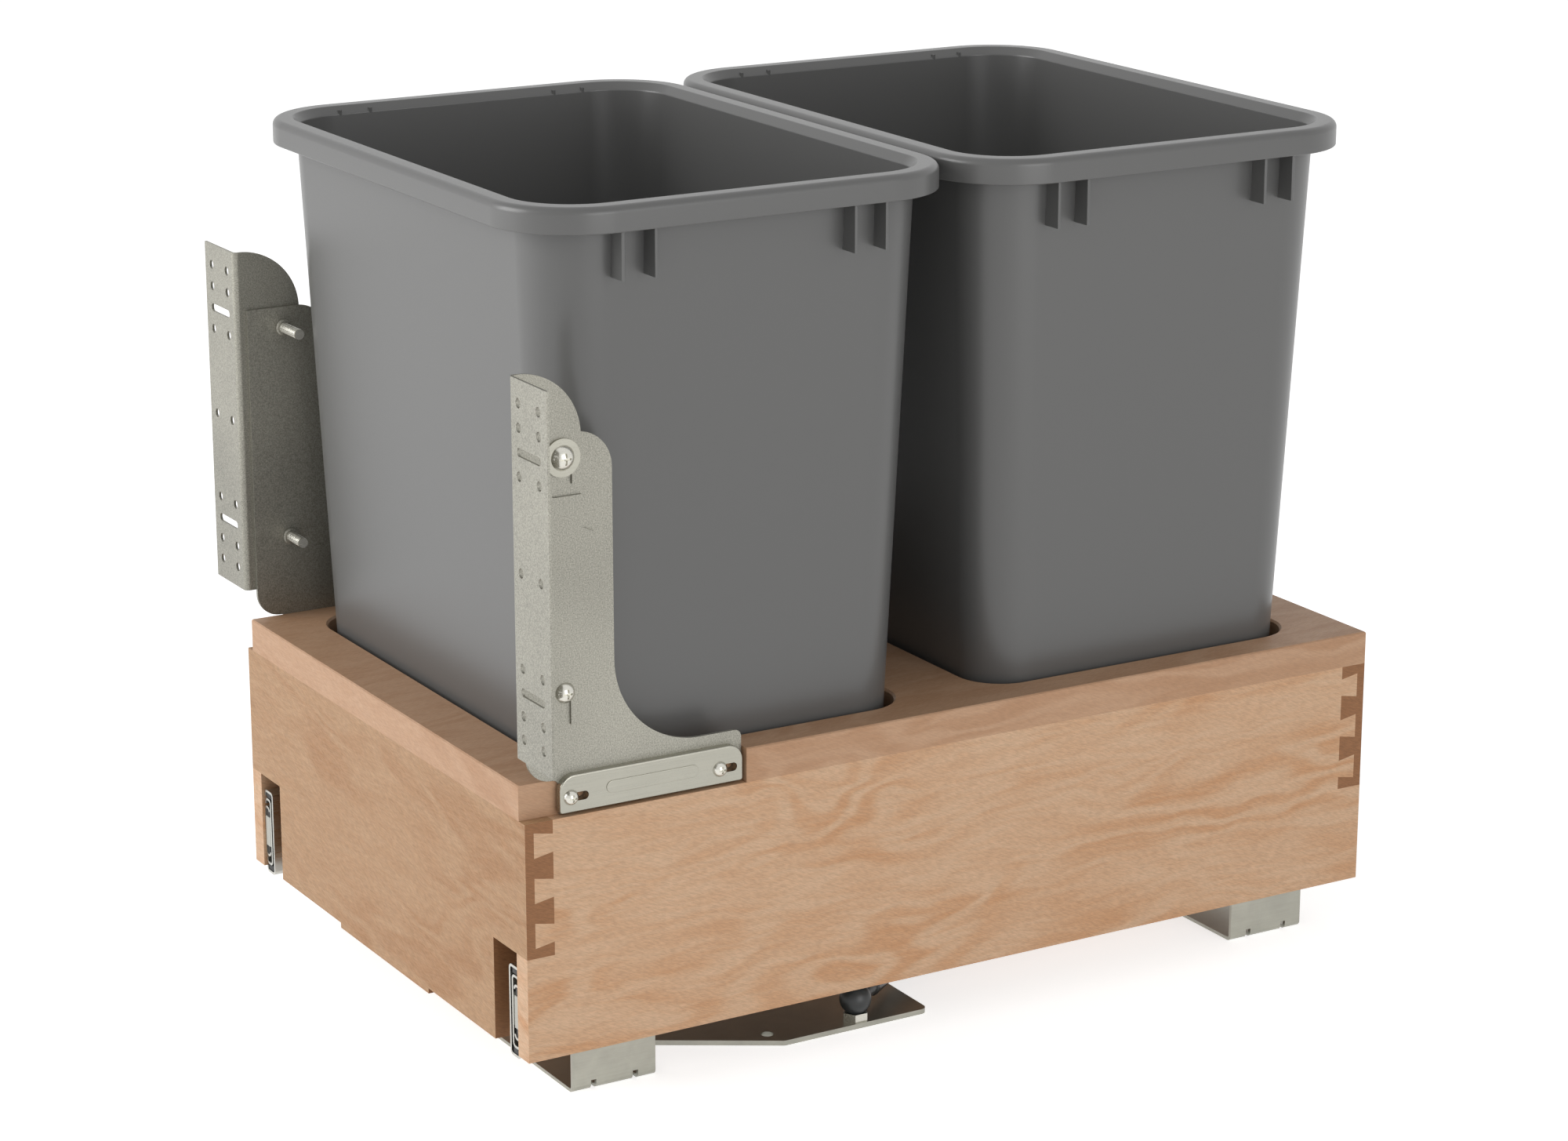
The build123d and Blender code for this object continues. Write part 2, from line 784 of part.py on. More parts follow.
def round_head(face_x, y, z, radius, height):
    """Domed screw head standing out from face_x."""
    dome_radius = (radius * radius + height * height) / (2 * height)
    crown = RadiusArc((0, radius), (height, 0), dome_radius)
    profile = make_face(crown + Line((height, 0), (0, 0)) + Line((0, 0), (0, radius)))
    head = Pos(face_x, y, z) * revolve(profile, Axis.X)
    return head - cross(face_x + height, y, z, radius, height)


def clamp_screws():
    """The two screws of the right clamp plate."""
    face_x = clamp_x + clamp_thickness + sheet_gap
    screws = Part()
    for y in clamp_screw_places():
        screws += rod_x(recess_x - clamp_screw_bite, face_x, y, clamp_screw_z, clamp_screw_radius)
        screws += round_head(face_x, y, clamp_screw_z, clamp_screw_head_radius, clamp_screw_head)
    return screws


def side_flange_outline():
    """Side flange of the door bracket: a hook window above and an open slot below."""
    low = bracket_bottom
    front = bracket_front_y
    top = low + bracket_height
    upper = front + side_upper_depth
    lower = front + side_lower_depth
    window_front = bolt_y - window_width / 2
    window_rear = bolt_y + window_width / 2
    window_low = low + window_lift
    slot_front = bolt_y - hook_slot_width / 2
    slot_rear = bolt_y + hook_slot_width / 2
    slot_top = low + lower_bolt_lift + hook_slot_top_gap
    flat = outline([
        (front, top), (upper, top), (upper, window_low + window_mouth),
        (window_rear, window_low + window_mouth), (window_rear, window_low + window_height),
        (window_front, window_low + window_height), (window_front, window_low), (upper, window_low),
        (upper, low + side_step_top_lift), (front + side_step_depth, low + side_step_low_lift),
        (lower, low + side_slant_lift), (lower, low + side_lower_lift), (slot_rear, low + side_lower_lift),
        (slot_rear, slot_top), (slot_front, slot_top), (slot_front, low), (front, low)])
    slot_round = hook_slot_width / 2 - sheet_gap
    return rounded(flat, [
        (upper, top, side_top_radius),
        (window_rear, window_low + window_height, window_round),
        (window_front, window_low + window_height, window_round),
        (window_front, window_low, window_round),
        (slot_rear, slot_top, slot_round), (slot_front, slot_top, slot_round)])


def flange_middle():
    """Height of the middle of the door bracket."""
    return bracket_bottom + bracket_height / 2


def door_bracket():
    """Right door bracket: drilled front flange for the door and a side flange on the arm."""
    front = bracket_front_y
    tip_x = bracket_x + flange_width
    side = slab_x(side_flange_outline(), bracket_x, bracket_sheet)
    face = block(bracket_x, tip_x, front, front + bracket_sheet, bracket_bottom,
                 bracket_bottom + bracket_height)
    body = side + face
    upright = body.edges().filter_by(Axis.Z)
    heel = upright.sort_by_distance((bracket_x, front, flange_middle()))[0]
    throat = upright.sort_by_distance((bracket_x + bracket_sheet, front + bracket_sheet, flange_middle()))[0]
    body = fillet(heel, bend_radius)
    throat = body.edges().filter_by(Axis.Z).sort_by_distance(throat.center())[0]
    body = fillet(throat, bend_radius - bracket_sheet)
    return body - flange_holes()


def flange_holes():
    """Rows of round holes and two slots in the right front flange."""
    front = bracket_front_y
    cuts = Part()
    for offset in flange_row_offsets:
        for sign in (-1, 1):
            for x in (bracket_x + flange_hole_inner, bracket_x + flange_hole_outer):
                cuts += rod_y(x, front - overrun, front + bracket_sheet + overrun,
                              flange_middle() + sign * offset, flange_hole_radius)
    middle_x = bracket_x + (flange_hole_inner + flange_hole_outer) / 2
    for sign in (-1, 1):
        slot = Pos(middle_x, flange_middle() + sign * flange_slot_offset) * SlotOverall(flange_slot_length,
                                                                                     flange_slot_width)
        cuts += rail_y(slot, front - overrun, bracket_sheet + 2 * overrun)
    return cuts


def washer():
    """Large washer under the head of the upper bolt."""
    face_x = bracket_x + bracket_sheet + sheet_gap
    z = bolt_heights()[0]
    ring = rod_x(face_x, face_x + washer_thickness, bolt_y, z, washer_radius)
    return ring - rod_x(face_x - overrun, face_x + overrun, bolt_y, z, bolt_radius + bolt_fit)


def upper_bolt():
    """Bolt that clamps the door bracket through its window."""
    face_x = bracket_x + bracket_sheet + sheet_gap + washer_thickness
    z = bolt_heights()[0]
    shank = rod_x(arm_x - upper_bolt_reach, face_x, bolt_y, z, bolt_radius)
    return shank + round_head(face_x, bolt_y, z, upper_head_radius, upper_head)


def lower_bolt():
    """Bolt that the open slot of the door bracket hooks over."""
    face_x = bracket_x + bracket_sheet + sheet_gap
    z = bolt_heights()[1]
    shank = rod_x(arm_x - lower_bolt_reach, face_x, bolt_y, z, bolt_radius)
    return shank + round_head(face_x, bolt_y, z, lower_head_radius, lower_head)


# Base plate and gas strut


def base_plate():
    """Plate on the cabinet floor that carries the ball stud and butts against the right front foot."""
    foot_rear = foot_spans()[0][1]
    points = [(plate_inner_x, plate_rear_y), (plate_outer_x, plate_rear_y), (plate_outer_x, plate_shoulder_y),
              (plate_chamfer_x, plate_chamfer_y), (plate_chamfer_x, foot_rear), (plate_inner_x, foot_rear)]
    flat = rounded(outline(points), [(plate_inner_x, plate_rear_y, plate_corner),
                                     (plate_outer_x, plate_rear_y, plate_corner),
                                     (plate_outer_x, plate_shoulder_y, plate_corner)])
    plate = slab_z(flat, 0, plate_thickness)
    for x in (half_width - plate_hole_inset, half_width - plate_far_hole_inset):
        plate -= rod_z(x, plate_hole_y, -overrun, plate_thickness + overrun, plate_hole_radius)
    return plate


def hexagon(width):
    """Hexagon of the given width across its flats."""
    return Rot(0, 0, 30) * RegularPolygon(width / 2, 6, major_radius=False)


def ball_stud():
    """Hexagon ball stud on the base plate."""
    hexagonal = slab_z(hexagon(stud_hex_width), plate_thickness, stud_hex_height)
    neck = rod_z(0, 0, plate_thickness, strut_height, stud_neck_radius)
    ball = Pos(0, 0, strut_height) * Sphere(stud_ball_radius)
    return Pos(stud_x, stud_y, 0) * (hexagonal + neck + ball)


def along_strut(shape):
    """Carry a shape drawn about the ball with its axis along plus Y to the strut's place."""
    return Pos(stud_x, stud_y, strut_height) * Rot(0, 0, strut_angle) * shape


def strut_socket():
    """Ball socket on the cylinder's end, open below for the neck of the stud."""
    body = Sphere(socket_radius) + rod_y(0, 0, socket_neck_length, 0, socket_neck_radius)
    body -= Sphere(stud_ball_radius + socket_fit)
    body -= rod_z(0, 0, -2 * socket_radius, 0, socket_mouth_radius)
    nut_top = plate_thickness + stud_hex_height - strut_height
    body -= rod_z(0, 0, nut_top - socket_radius, nut_top + socket_nut_gap, socket_radius)
    return along_strut(body)


def strut_cylinder():
    """Gas cylinder with its gland, hollow for the piston."""
    start = socket_neck_length
    end = start + cylinder_length
    tube = rod_y(0, start, end, 0, cylinder_radius)
    tube = fillet(tube.edges().filter_by(GeomType.CIRCLE), cylinder_round)
    tube -= rod_y(0, start + cylinder_wall, end - gland_length, 0, cylinder_radius - cylinder_wall)
    tube -= rod_y(0, end - gland_length - overrun, end + overrun, 0, rod_radius + rod_fit)
    return along_strut(tube)


def strut_rod():
    """Piston and rod, drawn out as far as the gland lets the piston come."""
    piston_end = socket_neck_length + cylinder_length - gland_length - ball_clearance
    piston = rod_y(0, piston_end - piston_length, piston_end, 0, cylinder_radius - cylinder_wall - piston_fit)
    rod = rod_y(0, piston_end - piston_length, strut_length - rod_end_neck_length, 0, rod_radius)
    return along_strut(piston + rod)


def rod_end():
    """Cup at the rod's end, under the stud that hangs from the bottom panel."""
    cup = Cylinder(rod_end_radius, rod_end_height)
    cup = fillet(cup.edges().filter_by(GeomType.CIRCLE), rod_end_round)
    neck = rod_y(0, -rod_end_neck_length, 0, 0, rod_end_neck_radius)
    cup = cup + neck - rod_z(0, 0, rod_end_height / 2 - rod_end_cup_depth, rod_end_height, rod_end_cup_radius)
    return along_strut(Pos(0, strut_length, 0) * cup)


def hanger_place():
    """X and Y of the stud on the bottom panel at rest."""
    turn = radians(strut_angle)
    return stud_x - strut_length * sin(turn), stud_y + strut_length * cos(turn)


def hanger_stud():
    """Ball stud under the bottom panel. It stops short of the cup, where the linkage is opened."""
    x, y = hanger_place()
    ball_z = strut_height + rod_end_height / 2 + open_pivot_gap + hanger_ball_radius
    hexagonal = slab_z(hexagon(stud_hex_width), floor_gap - hanger_hex_height, hanger_hex_height)
    neck = rod_z(0, 0, ball_z, bin_bottom, hanger_neck_radius)
    ball = Pos(0, 0, ball_z) * Sphere(hanger_ball_radius)
    return Pos(x, y, 0) * (hexagonal + neck + ball)


def pieces():
    """Every node and its shape."""
    nodes = {
        "top_panel": top_panel(),
        "front_panel": end_panel(),
        "rear_panel": mirror(end_panel(), about=Plane.XZ.offset(-centre_y)),
        "bottom_panel": bottom_panel(),
        "bin_front": placed_bin(-1),
        "bin_rear": placed_bin(1),
        "base_plate": base_plate(),
        "ball_stud": ball_stud(),
        "strut_socket": strut_socket(),
        "strut_cylinder": strut_cylinder(),
        "strut_rod": strut_rod(),
        "strut_rod_end": rod_end(),
        "hanger_stud": hanger_stud(),
    }
    outer_x, inner_x = ball_line_places()
    outer_z, inner_z = ball_line_heights()
    front_foot, rear_foot = foot_spans()
    right_side = {
        "side_panel": side_panel(),
        "cabinet_member": cabinet_member(),
        "middle_member": middle_member(),
        "drawer_member": drawer_member(),
        "outer_ball_cage": ball_cage(outer_x, outer_z),
        "inner_ball_cage": ball_cage(inner_x, inner_z),
        "outer_balls": balls(outer_x, outer_z),
        "inner_balls": balls(inner_x, inner_z),
        "foot_front": foot(*front_foot),
        "foot_rear": foot(*rear_foot),
        "door_arm": arm(),
        "clamp_plate": clamp_plate(),
        "door_bracket": door_bracket(),
        "upper_bolt": upper_bolt(),
        "upper_washer": washer(),
        "lower_bolt": lower_bolt(),
    }
    for name, shape in right_side.items():
        nodes[name + "_right"] = shape
        nodes[name + "_left"] = left(shape)
    both_sides = {
        "slide_end_blocks": end_block(),
        "rear_bumpers": rear_bumper(),
        "drawer_member_screws": drawer_screws(),
        "foot_rivets": foot_rivets(),
        "clamp_screws": clamp_screws(),
    }
    for name, shape in both_sides.items():
        nodes[name] = shape + left(shape)
    return nodes


def main():
    """Write one file for each node and print the sizes that the motion uses."""
    for name, shape in pieces().items():
        export_step(shape, os.path.join("parts", name + ".step"))
    x, y = hanger_place()
    print("strut length", round(strut_length, 3), "hanger stud at", round(x, 3), round(y, 3))
    print("swing", swing_degrees, "degrees, ratio", round(radians(swing_degrees) / travel * 1000, 5), "rad/m")


main()
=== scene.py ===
"""Looks of a pull out bin frame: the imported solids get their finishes, and finer pieces join them."""

from __future__ import annotations

import logging
import math
from dataclasses import dataclass, field
from enum import Enum
from functools import cache

import bmesh
import bpy
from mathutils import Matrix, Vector

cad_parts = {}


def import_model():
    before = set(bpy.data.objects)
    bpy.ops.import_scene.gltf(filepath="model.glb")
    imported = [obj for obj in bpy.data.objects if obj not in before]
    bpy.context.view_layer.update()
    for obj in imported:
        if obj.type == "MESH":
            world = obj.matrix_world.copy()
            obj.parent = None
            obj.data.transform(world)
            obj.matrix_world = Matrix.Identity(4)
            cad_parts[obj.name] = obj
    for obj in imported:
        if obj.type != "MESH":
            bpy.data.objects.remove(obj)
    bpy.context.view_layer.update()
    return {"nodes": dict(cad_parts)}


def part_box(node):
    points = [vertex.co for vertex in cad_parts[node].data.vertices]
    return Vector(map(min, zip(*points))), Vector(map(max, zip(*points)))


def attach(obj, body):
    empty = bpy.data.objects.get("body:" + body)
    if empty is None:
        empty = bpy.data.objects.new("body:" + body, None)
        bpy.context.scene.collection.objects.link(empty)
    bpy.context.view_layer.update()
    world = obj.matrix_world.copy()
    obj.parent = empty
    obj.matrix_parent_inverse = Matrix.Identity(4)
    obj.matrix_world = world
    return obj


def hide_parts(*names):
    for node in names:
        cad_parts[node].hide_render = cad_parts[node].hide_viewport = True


LOG = logging.getLogger("bin_frame")
MM = 0.001
SIDES = ("left", "right")
Color = tuple[float, float, float]
Socket = bpy.types.NodeSocket
Value = Socket | float | tuple[float, ...]
NUMBER = "NodeSocketFloat"
COUNT = "NodeSocketInt"
VECTOR = "NodeSocketVector"
COLOR = "NodeSocketColor"
WHITE = (1.0, 1.0, 1.0)
WELD = 0.000002
SHARP_TURN = 35.0
NOISE_MIDDLE = 0.5
NOISE_RANGE = (0.34, 0.66)


def from_screen(red: float, green: float, blue: float) -> Color:
    """Turn a screen colour of 0 to 255 into the linear colour that a shader takes."""
    parts = [value / 255 for value in (red, green, blue)]
    return tuple(part / 12.92 if part <= 0.04045 else ((part + 0.055) / 1.055) ** 2.4 for part in parts)


def add_object(name: str, data: bpy.types.ID) -> bpy.types.Object:
    """Make an object of some data and put it in the scene.

    Args:
        name: The object's name.
        data: Its mesh, lamp or camera.

    Returns:
        The new object.
    """
    made = bpy.data.objects.new(name, data)
    bpy.context.scene.collection.objects.link(made)
    return made


class Graph:
    """A node tree in the making, for shaders and for geometry alike."""

    def __init__(self, tree: bpy.types.NodeTree) -> None:
        """Take the tree to build in."""
        self.tree = tree

    def node(self, kind: str, inputs: dict | None = None, **settings: object) -> bpy.types.Node:
        """Add a node.

        Args:
            kind: The node's type name.
            inputs: Values or sockets for its inputs, by name or number.
            **settings: Values for its settings.

        Returns:
            The new node.
        """
        made = self.tree.nodes.new(kind)
        for name, value in settings.items():
            setattr(made, name, value)
        for key, value in (inputs or {}).items():
            self.feed(made.inputs[key], value)
        return made

    def feed(self, socket: Socket, value: Value) -> None:
        """Link a socket to another one, or set its value.

        Args:
            socket: The input to feed.
            value: A socket, a number, a vector or a colour.
        """
        if isinstance(value, bpy.types.NodeSocket):
            self.tree.links.new(value, socket)
        elif socket.type == "RGBA" and len(value) == 3:
            socket.default_value = (*value, 1.0)
        else:
            socket.default_value = value

    def math(self, operation: str, first: Value, second: Value = 0.0, clamp: bool = False) -> Socket:
        """Add a Math node, held between 0 and 1 on request, and return its value."""
        made = self.node("ShaderNodeMath", {0: first, 1: second}, operation=operation, use_clamp=clamp)
        return made.outputs[0]

    def plus(self, first: Value, second: Value, clamp: bool = False) -> Socket:
        """Return the sum of two numbers, held between 0 and 1 on request."""
        return self.math("ADD", first, second, clamp)

    def minus(self, first: Value, second: Value) -> Socket:
        """Return the first number less the second."""
        return self.math("SUBTRACT", first, second)

    def times(self, first: Value, second: Value) -> Socket:
        """Return the product of two numbers."""
        return self.math("MULTIPLY", first, second)

    def over(self, first: Value, second: Value) -> Socket:
        """Return the first number divided by the second."""
        return self.math("DIVIDE", first, second)

    def vector_math(self, operation: str, first: Value, second: Value) -> Socket:
        """Add a Vector Math node and return its vector."""
        made = self.node("ShaderNodeVectorMath", {0: first, 1: second}, operation=operation)
        return made.outputs[0]

    def split(self, vector: Socket) -> tuple[Socket, Socket, Socket]:
        """Return the three parts of a vector."""
        made = self.node("ShaderNodeSeparateXYZ", {0: vector})
        return made.outputs[0], made.outputs[1], made.outputs[2]

    def join(self, x: Value, y: Value, z: Value) -> Socket:
        """Return the vector made of three parts."""
        return self.node("ShaderNodeCombineXYZ", {0: x, 1: y, 2: z}).outputs[0]

    def pick(self, share: Value, low: Value, high: Value) -> Socket:
        """Return a number between low and high, as the share says."""
        made = self.node("ShaderNodeMix", {0: share, 2: low, 3: high}, data_type="FLOAT")
        return made.outputs[0]

    def blend(self, share: Value, low: Value, high: Value, how: str = "MIX") -> Socket:
        """Blend two colours, with as much of the second as the share says, and return the colour."""
        made = self.node("ShaderNodeMix", {0: share, 6: low, 7: high}, data_type="RGBA", blend_type=how)
        return made.outputs[2]

    def shade(self, color: Value, level: Socket) -> Socket:
        """Return a colour made lighter or darker by a factor."""
        return self.blend(1.0, color, self.join(level, level, level), "MULTIPLY")

    def spread(self, value: Socket, low: float, high: float, to_low: float = 0.0,
               to_high: float = 1.0) -> Socket:
        """Map a value smoothly from one range to another, and return it."""
        inputs = {"Value": value, "From Min": low, "From Max": high, "To Min": to_low, "To Max": to_high}
        return self.node("ShaderNodeMapRange", inputs, interpolation_type="SMOOTHSTEP").outputs[0]

    def change(self, value: Socket, strength: Value) -> Socket:
        """Return how far a noise's value is from its middle, times a strength."""
        return self.times(self.minus(value, NOISE_MIDDLE), strength)

    def stretched(self, vector: Socket, stretch: Value) -> Socket:
        """Return a place stretched along its axes."""
        return self.vector_math("MULTIPLY", vector, stretch)

    def noise(self, vector: Socket, scale: Value = 1.0, detail: float = 2.0, roughness: float = 0.5,
              distortion: float = 0.0) -> Socket:
        """Add a Noise Texture and return its value.

        Args:
            vector: Place on the surface.
            scale: Size of the pattern, as a number or a socket.
            detail: Octaves of detail.
            roughness: Strength of the finer octaves.
            distortion: How far the pattern is warped.

        Returns:
            The value's socket, mostly from 0.3 to 0.7.
        """
        inputs = {"Vector": vector, "Scale": scale, "Detail": detail, "Roughness": roughness,
                  "Distortion": distortion}
        return self.node("ShaderNodeTexNoise", inputs).outputs[0]


class SharedEffects:
    """Shader groups that several finishes use. Each is built once."""

    FACING = 0.7
    SIDE_LAYER = 3.1
    END_LAYER = 7.7
    DRIFT_STRETCH = (9.0, 22.0, 1.0)
    DRIFT_REACH = 0.035
    CONTOUR_STRETCH = (5.0, 17.0, 1.0)
    BANDS = 62.0
    BAND_SHARE = 0.7
    PATCH_STRETCH = (7.0, 24.0, 1.0)
    PATCH_RANGE = (0.36, 0.62)
    FAINTEST_PATCH = 0.15
    STREAK_STRETCH = (22.0, 260.0, 1.0)
    STREAK_RANGE = (0.35, 0.65)
    STREAK_SHARE = 0.3
    RIPPLE_TURN = (0.0, 0.0, 0.42)
    RIPPLE_STRETCH = (200.0, 1100.0, 1.0)
    RIPPLE_SHARE = 0.6
    FIBRE_STRETCH = (160.0, 2600.0, 1.0)
    FIBRE_SHARE = 0.4
    DARKEST_RIPPLE = 0.66
    LACQUER_ROUGHNESS = (0.42, 0.58)
    BROAD_SCALE = 9.0
    BROAD_STRENGTH = 0.35
    GRAIN_ROUGHNESS = 0.18
    CLOUD_SCALE = 55.0
    LINE_ROUGHNESS = 0.3
    SURFACE = {"Color": COLOR, "Roughness": NUMBER, "Height": NUMBER}

    @staticmethod
    def start(name: str, inputs: dict[str, str],
              outputs: dict[str, str]) -> tuple[Graph, bpy.types.NodeOutputs]:
        """Make an empty shader group.

        Args:
            name: The group's name.
            inputs: Socket type of each input.
            outputs: Socket type of each output.

        Returns:
            A Graph to build the group with, and the sockets of its inputs.
        """
        tree = bpy.data.node_groups.new(name, "ShaderNodeTree")
        for direction, sockets in (("INPUT", inputs), ("OUTPUT", outputs)):
            for socket_name, kind in sockets.items():
                tree.interface.new_socket(name=socket_name, in_out=direction, socket_type=kind)
        graph = Graph(tree)
        return graph, graph.node("NodeGroupInput").outputs

    @classmethod
    @cache
    def board_direction(cls) -> bpy.types.NodeTree:
        """Turn a place on a board into along, across and through its grain, by the way the face looks.

        Returns:
            The group's tree.
        """
        graph, given = cls.start("board direction", {"Vector": VECTOR, "Normal": VECTOR},
                                 {"Vector": VECTOR, "Faces X": NUMBER})
        x, y, z = graph.split(given["Vector"])
        normal_x, normal_y, _ = graph.split(given["Normal"])
        faces_x = graph.math("GREATER_THAN", graph.math("ABSOLUTE", normal_x), cls.FACING)
        faces_y = graph.math("GREATER_THAN", graph.math("ABSOLUTE", normal_y), cls.FACING)
        upright = graph.plus(faces_x, faces_y, clamp=True)
        along = graph.pick(faces_y, y, x)
        across = graph.pick(upright, x, z)
        layer = graph.plus(graph.times(faces_x, cls.SIDE_LAYER), graph.times(faces_y, cls.END_LAYER))
        graph.node("NodeGroupOutput", {"Vector": graph.join(along, across, layer), "Faces X": faces_x})
        return graph.tree

    @classmethod
    @cache
    def veneer_figure(cls) -> bpy.types.NodeTree:
        """Soft contour bands, fibres and ripple of rotary cut veneer.

        Returns:
            The group's tree.
        """
        graph, given = cls.start(
            "veneer figure", {"Vector": VECTOR, "Light": COLOR, "Warm": COLOR, "Contrast": NUMBER,
                              "Ripple": NUMBER}, cls.SURFACE)
        place = given["Vector"]
        drift = graph.noise(graph.stretched(place, cls.DRIFT_STRETCH), detail=3.0, roughness=0.55)
        bent = graph.vector_math("ADD", place, graph.join(0.0, graph.times(drift, cls.DRIFT_REACH), 0.0))
        contour = graph.noise(graph.stretched(bent, cls.CONTOUR_STRETCH), roughness=0.4, distortion=0.5)
        bands = graph.spread(graph.math("SINE", graph.times(contour, cls.BANDS)), -1.0, 1.0)
        patches = graph.spread(graph.noise(graph.stretched(place, cls.PATCH_STRETCH)), *cls.PATCH_RANGE,
                               to_low=cls.FAINTEST_PATCH)
        streaks = graph.spread(graph.noise(graph.stretched(bent, cls.STREAK_STRETCH), detail=3.0),
                               *cls.STREAK_RANGE)
        turned = graph.node("ShaderNodeMapping", {"Vector": place, "Rotation": cls.RIPPLE_TURN}).outputs[0]
        ripple = graph.spread(graph.noise(graph.stretched(turned, cls.RIPPLE_STRETCH), detail=3.0,
                                          roughness=0.65, distortion=0.3), *NOISE_RANGE)
        fibre = graph.spread(graph.noise(graph.stretched(place, cls.FIBRE_STRETCH), roughness=0.6),
                             *NOISE_RANGE)
        tone = graph.plus(graph.times(graph.times(bands, patches), cls.BAND_SHARE),
                          graph.times(streaks, cls.STREAK_SHARE))
        color = graph.blend(graph.times(tone, given["Contrast"]), given["Light"], given["Warm"])
        fine = graph.plus(graph.times(ripple, cls.RIPPLE_SHARE), graph.times(fibre, cls.FIBRE_SHARE))
        dim = graph.pick(graph.times(fine, given["Ripple"]), 1.0, cls.DARKEST_RIPPLE)
        graph.node("NodeGroupOutput", {"Color": graph.shade(color, dim), "Height": fine,
                                       "Roughness": graph.pick(fibre, *cls.LACQUER_ROUGHNESS)})
        return graph.tree

    @classmethod
    @cache
    def fine_speckle(cls) -> bpy.types.NodeTree:
        """Fine grain of moulded, cast or painted surfaces, with broad soft changes of tone.

        Returns:
            The group's tree.
        """
        graph, given = cls.start("fine speckle", {"Vector": VECTOR, "Color": COLOR, "Grain": NUMBER,
                                                  "Contrast": NUMBER, "Roughness": NUMBER}, cls.SURFACE)
        grain = graph.noise(given["Vector"], given["Grain"], detail=3.0, roughness=0.65)
        broad = graph.noise(given["Vector"], cls.BROAD_SCALE)
        tone = graph.plus(graph.minus(grain, NOISE_MIDDLE), graph.change(broad, cls.BROAD_STRENGTH))
        level = graph.plus(graph.times(tone, given["Contrast"]), 1.0)
        rough = graph.plus(given["Roughness"], graph.change(grain, cls.GRAIN_ROUGHNESS), clamp=True)
        graph.node("NodeGroupOutput", {"Color": graph.shade(given["Color"], level), "Roughness": rough,
                                       "Height": grain})
        return graph.tree

    @classmethod
    @cache
    def brushed_lines(cls) -> bpy.types.NodeTree:
        """Fine lines of rolled or brushed metal, with cloudy patches of its plating.

        Returns:
            The group's tree.
        """
        graph, given = cls.start(
            "brushed lines", {"Vector": VECTOR, "Color": COLOR, "Stretch": VECTOR, "Contrast": NUMBER,
                              "Clouds": NUMBER, "Roughness": NUMBER}, cls.SURFACE)
        lines = graph.noise(graph.stretched(given["Vector"], given["Stretch"]), detail=3.0, roughness=0.7)
        clouds = graph.noise(given["Vector"], cls.CLOUD_SCALE, detail=4.0, roughness=0.6, distortion=0.5)
        tone = graph.plus(graph.change(lines, given["Contrast"]), graph.change(clouds, given["Clouds"]))
        rough = graph.plus(given["Roughness"], graph.change(lines, cls.LINE_ROUGHNESS), clamp=True)
        graph.node("NodeGroupOutput", {"Color": graph.shade(given["Color"], graph.plus(tone, 1.0)),
                                       "Roughness": rough, "Height": lines})
        return graph.tree


class EndGrain(Enum):
    """Which faces of a board are cut across the grain."""

    NONE = "none"
    SIDE_FACES = "Faces X"


@dataclass(frozen=True)
class Finish:
    """A surface finish. What is the same all over it stands here, and its pattern in its method."""

    name: str
    color: Color
    roughness: float = 0.5
    metallic: float = 0.0
    specular: float = 0.5
    coat: float = 0.0
    bump: float = 0.0
    bump_depth: float = 0.02

    def pattern(self, graph: Graph, place: Socket) -> bpy.types.Node:
        """Add the shader group with Color, Roughness and Height outputs, and return its node."""
        raise NotImplementedError

    def material(self) -> bpy.types.Material:
        """Build the finish's material, on first use.

        Returns:
            The material.
        """
        found = bpy.data.materials.get(self.name)
        if found:
            return found
        made = bpy.data.materials.new(self.name)
        made.use_nodes = True
        made.node_tree.nodes.clear()
        graph = Graph(made.node_tree)
        place = graph.node("ShaderNodeTexCoord").outputs["Object"]
        pattern = self.pattern(graph, place)
        inputs = {
            "Base Color": pattern.outputs["Color"], "Roughness": pattern.outputs["Roughness"],
            "Metallic": self.metallic, "Specular IOR Level": self.specular, "Coat Weight": self.coat,
        }
        if self.bump:
            bump = graph.node("ShaderNodeBump", {"Height": pattern.outputs["Height"], "Strength": self.bump,
                                                 "Distance": self.bump_depth * MM})
            inputs["Normal"] = bump.outputs[0]
        shader = graph.node("ShaderNodeBsdfPrincipled", inputs)
        graph.node("ShaderNodeOutputMaterial", {"Surface": shader.outputs[0]})
        made.diffuse_color = (*self.color, 1.0)
        return made

    def dress(self, piece: bpy.types.Object) -> None:
        """Give a piece this finish all over."""
        piece.data.materials.clear()
        piece.data.materials.append(self.material())


@dataclass(frozen=True)
class MouldedPlastic(Finish):
    """Matt or satin plastic, rubber or paint with a fine grain."""

    grain: float = 1400.0
    contrast: float = 0.1

    def pattern(self, graph: Graph, place: Socket) -> bpy.types.Node:
        """Add the fine speckle.

        Args:
            graph: The material's graph.
            place: Object coordinates.

        Returns:
            The group's node.
        """
        return graph.node("ShaderNodeGroup", {
            "Vector": place, "Color": self.color, "Grain": self.grain, "Contrast": self.contrast,
            "Roughness": self.roughness}, node_tree=SharedEffects.fine_speckle())


@dataclass(frozen=True)
class PlatedMetal(Finish):
    """Rolled, brushed or plated metal."""

    stretch: tuple[float, float, float] = (900.0, 30.0, 900.0)
    contrast: float = 0.3
    clouds: float = 0.1

    def pattern(self, graph: Graph, place: Socket) -> bpy.types.Node:
        """Add the brushed lines.

        Args:
            graph: The material's graph.
            place: Object coordinates.

        Returns:
            The group's node.
        """
        return graph.node("ShaderNodeGroup", {
            "Vector": place, "Color": self.color, "Stretch": self.stretch, "Contrast": self.contrast,
            "Clouds": self.clouds, "Roughness": self.roughness}, node_tree=SharedEffects.brushed_lines())


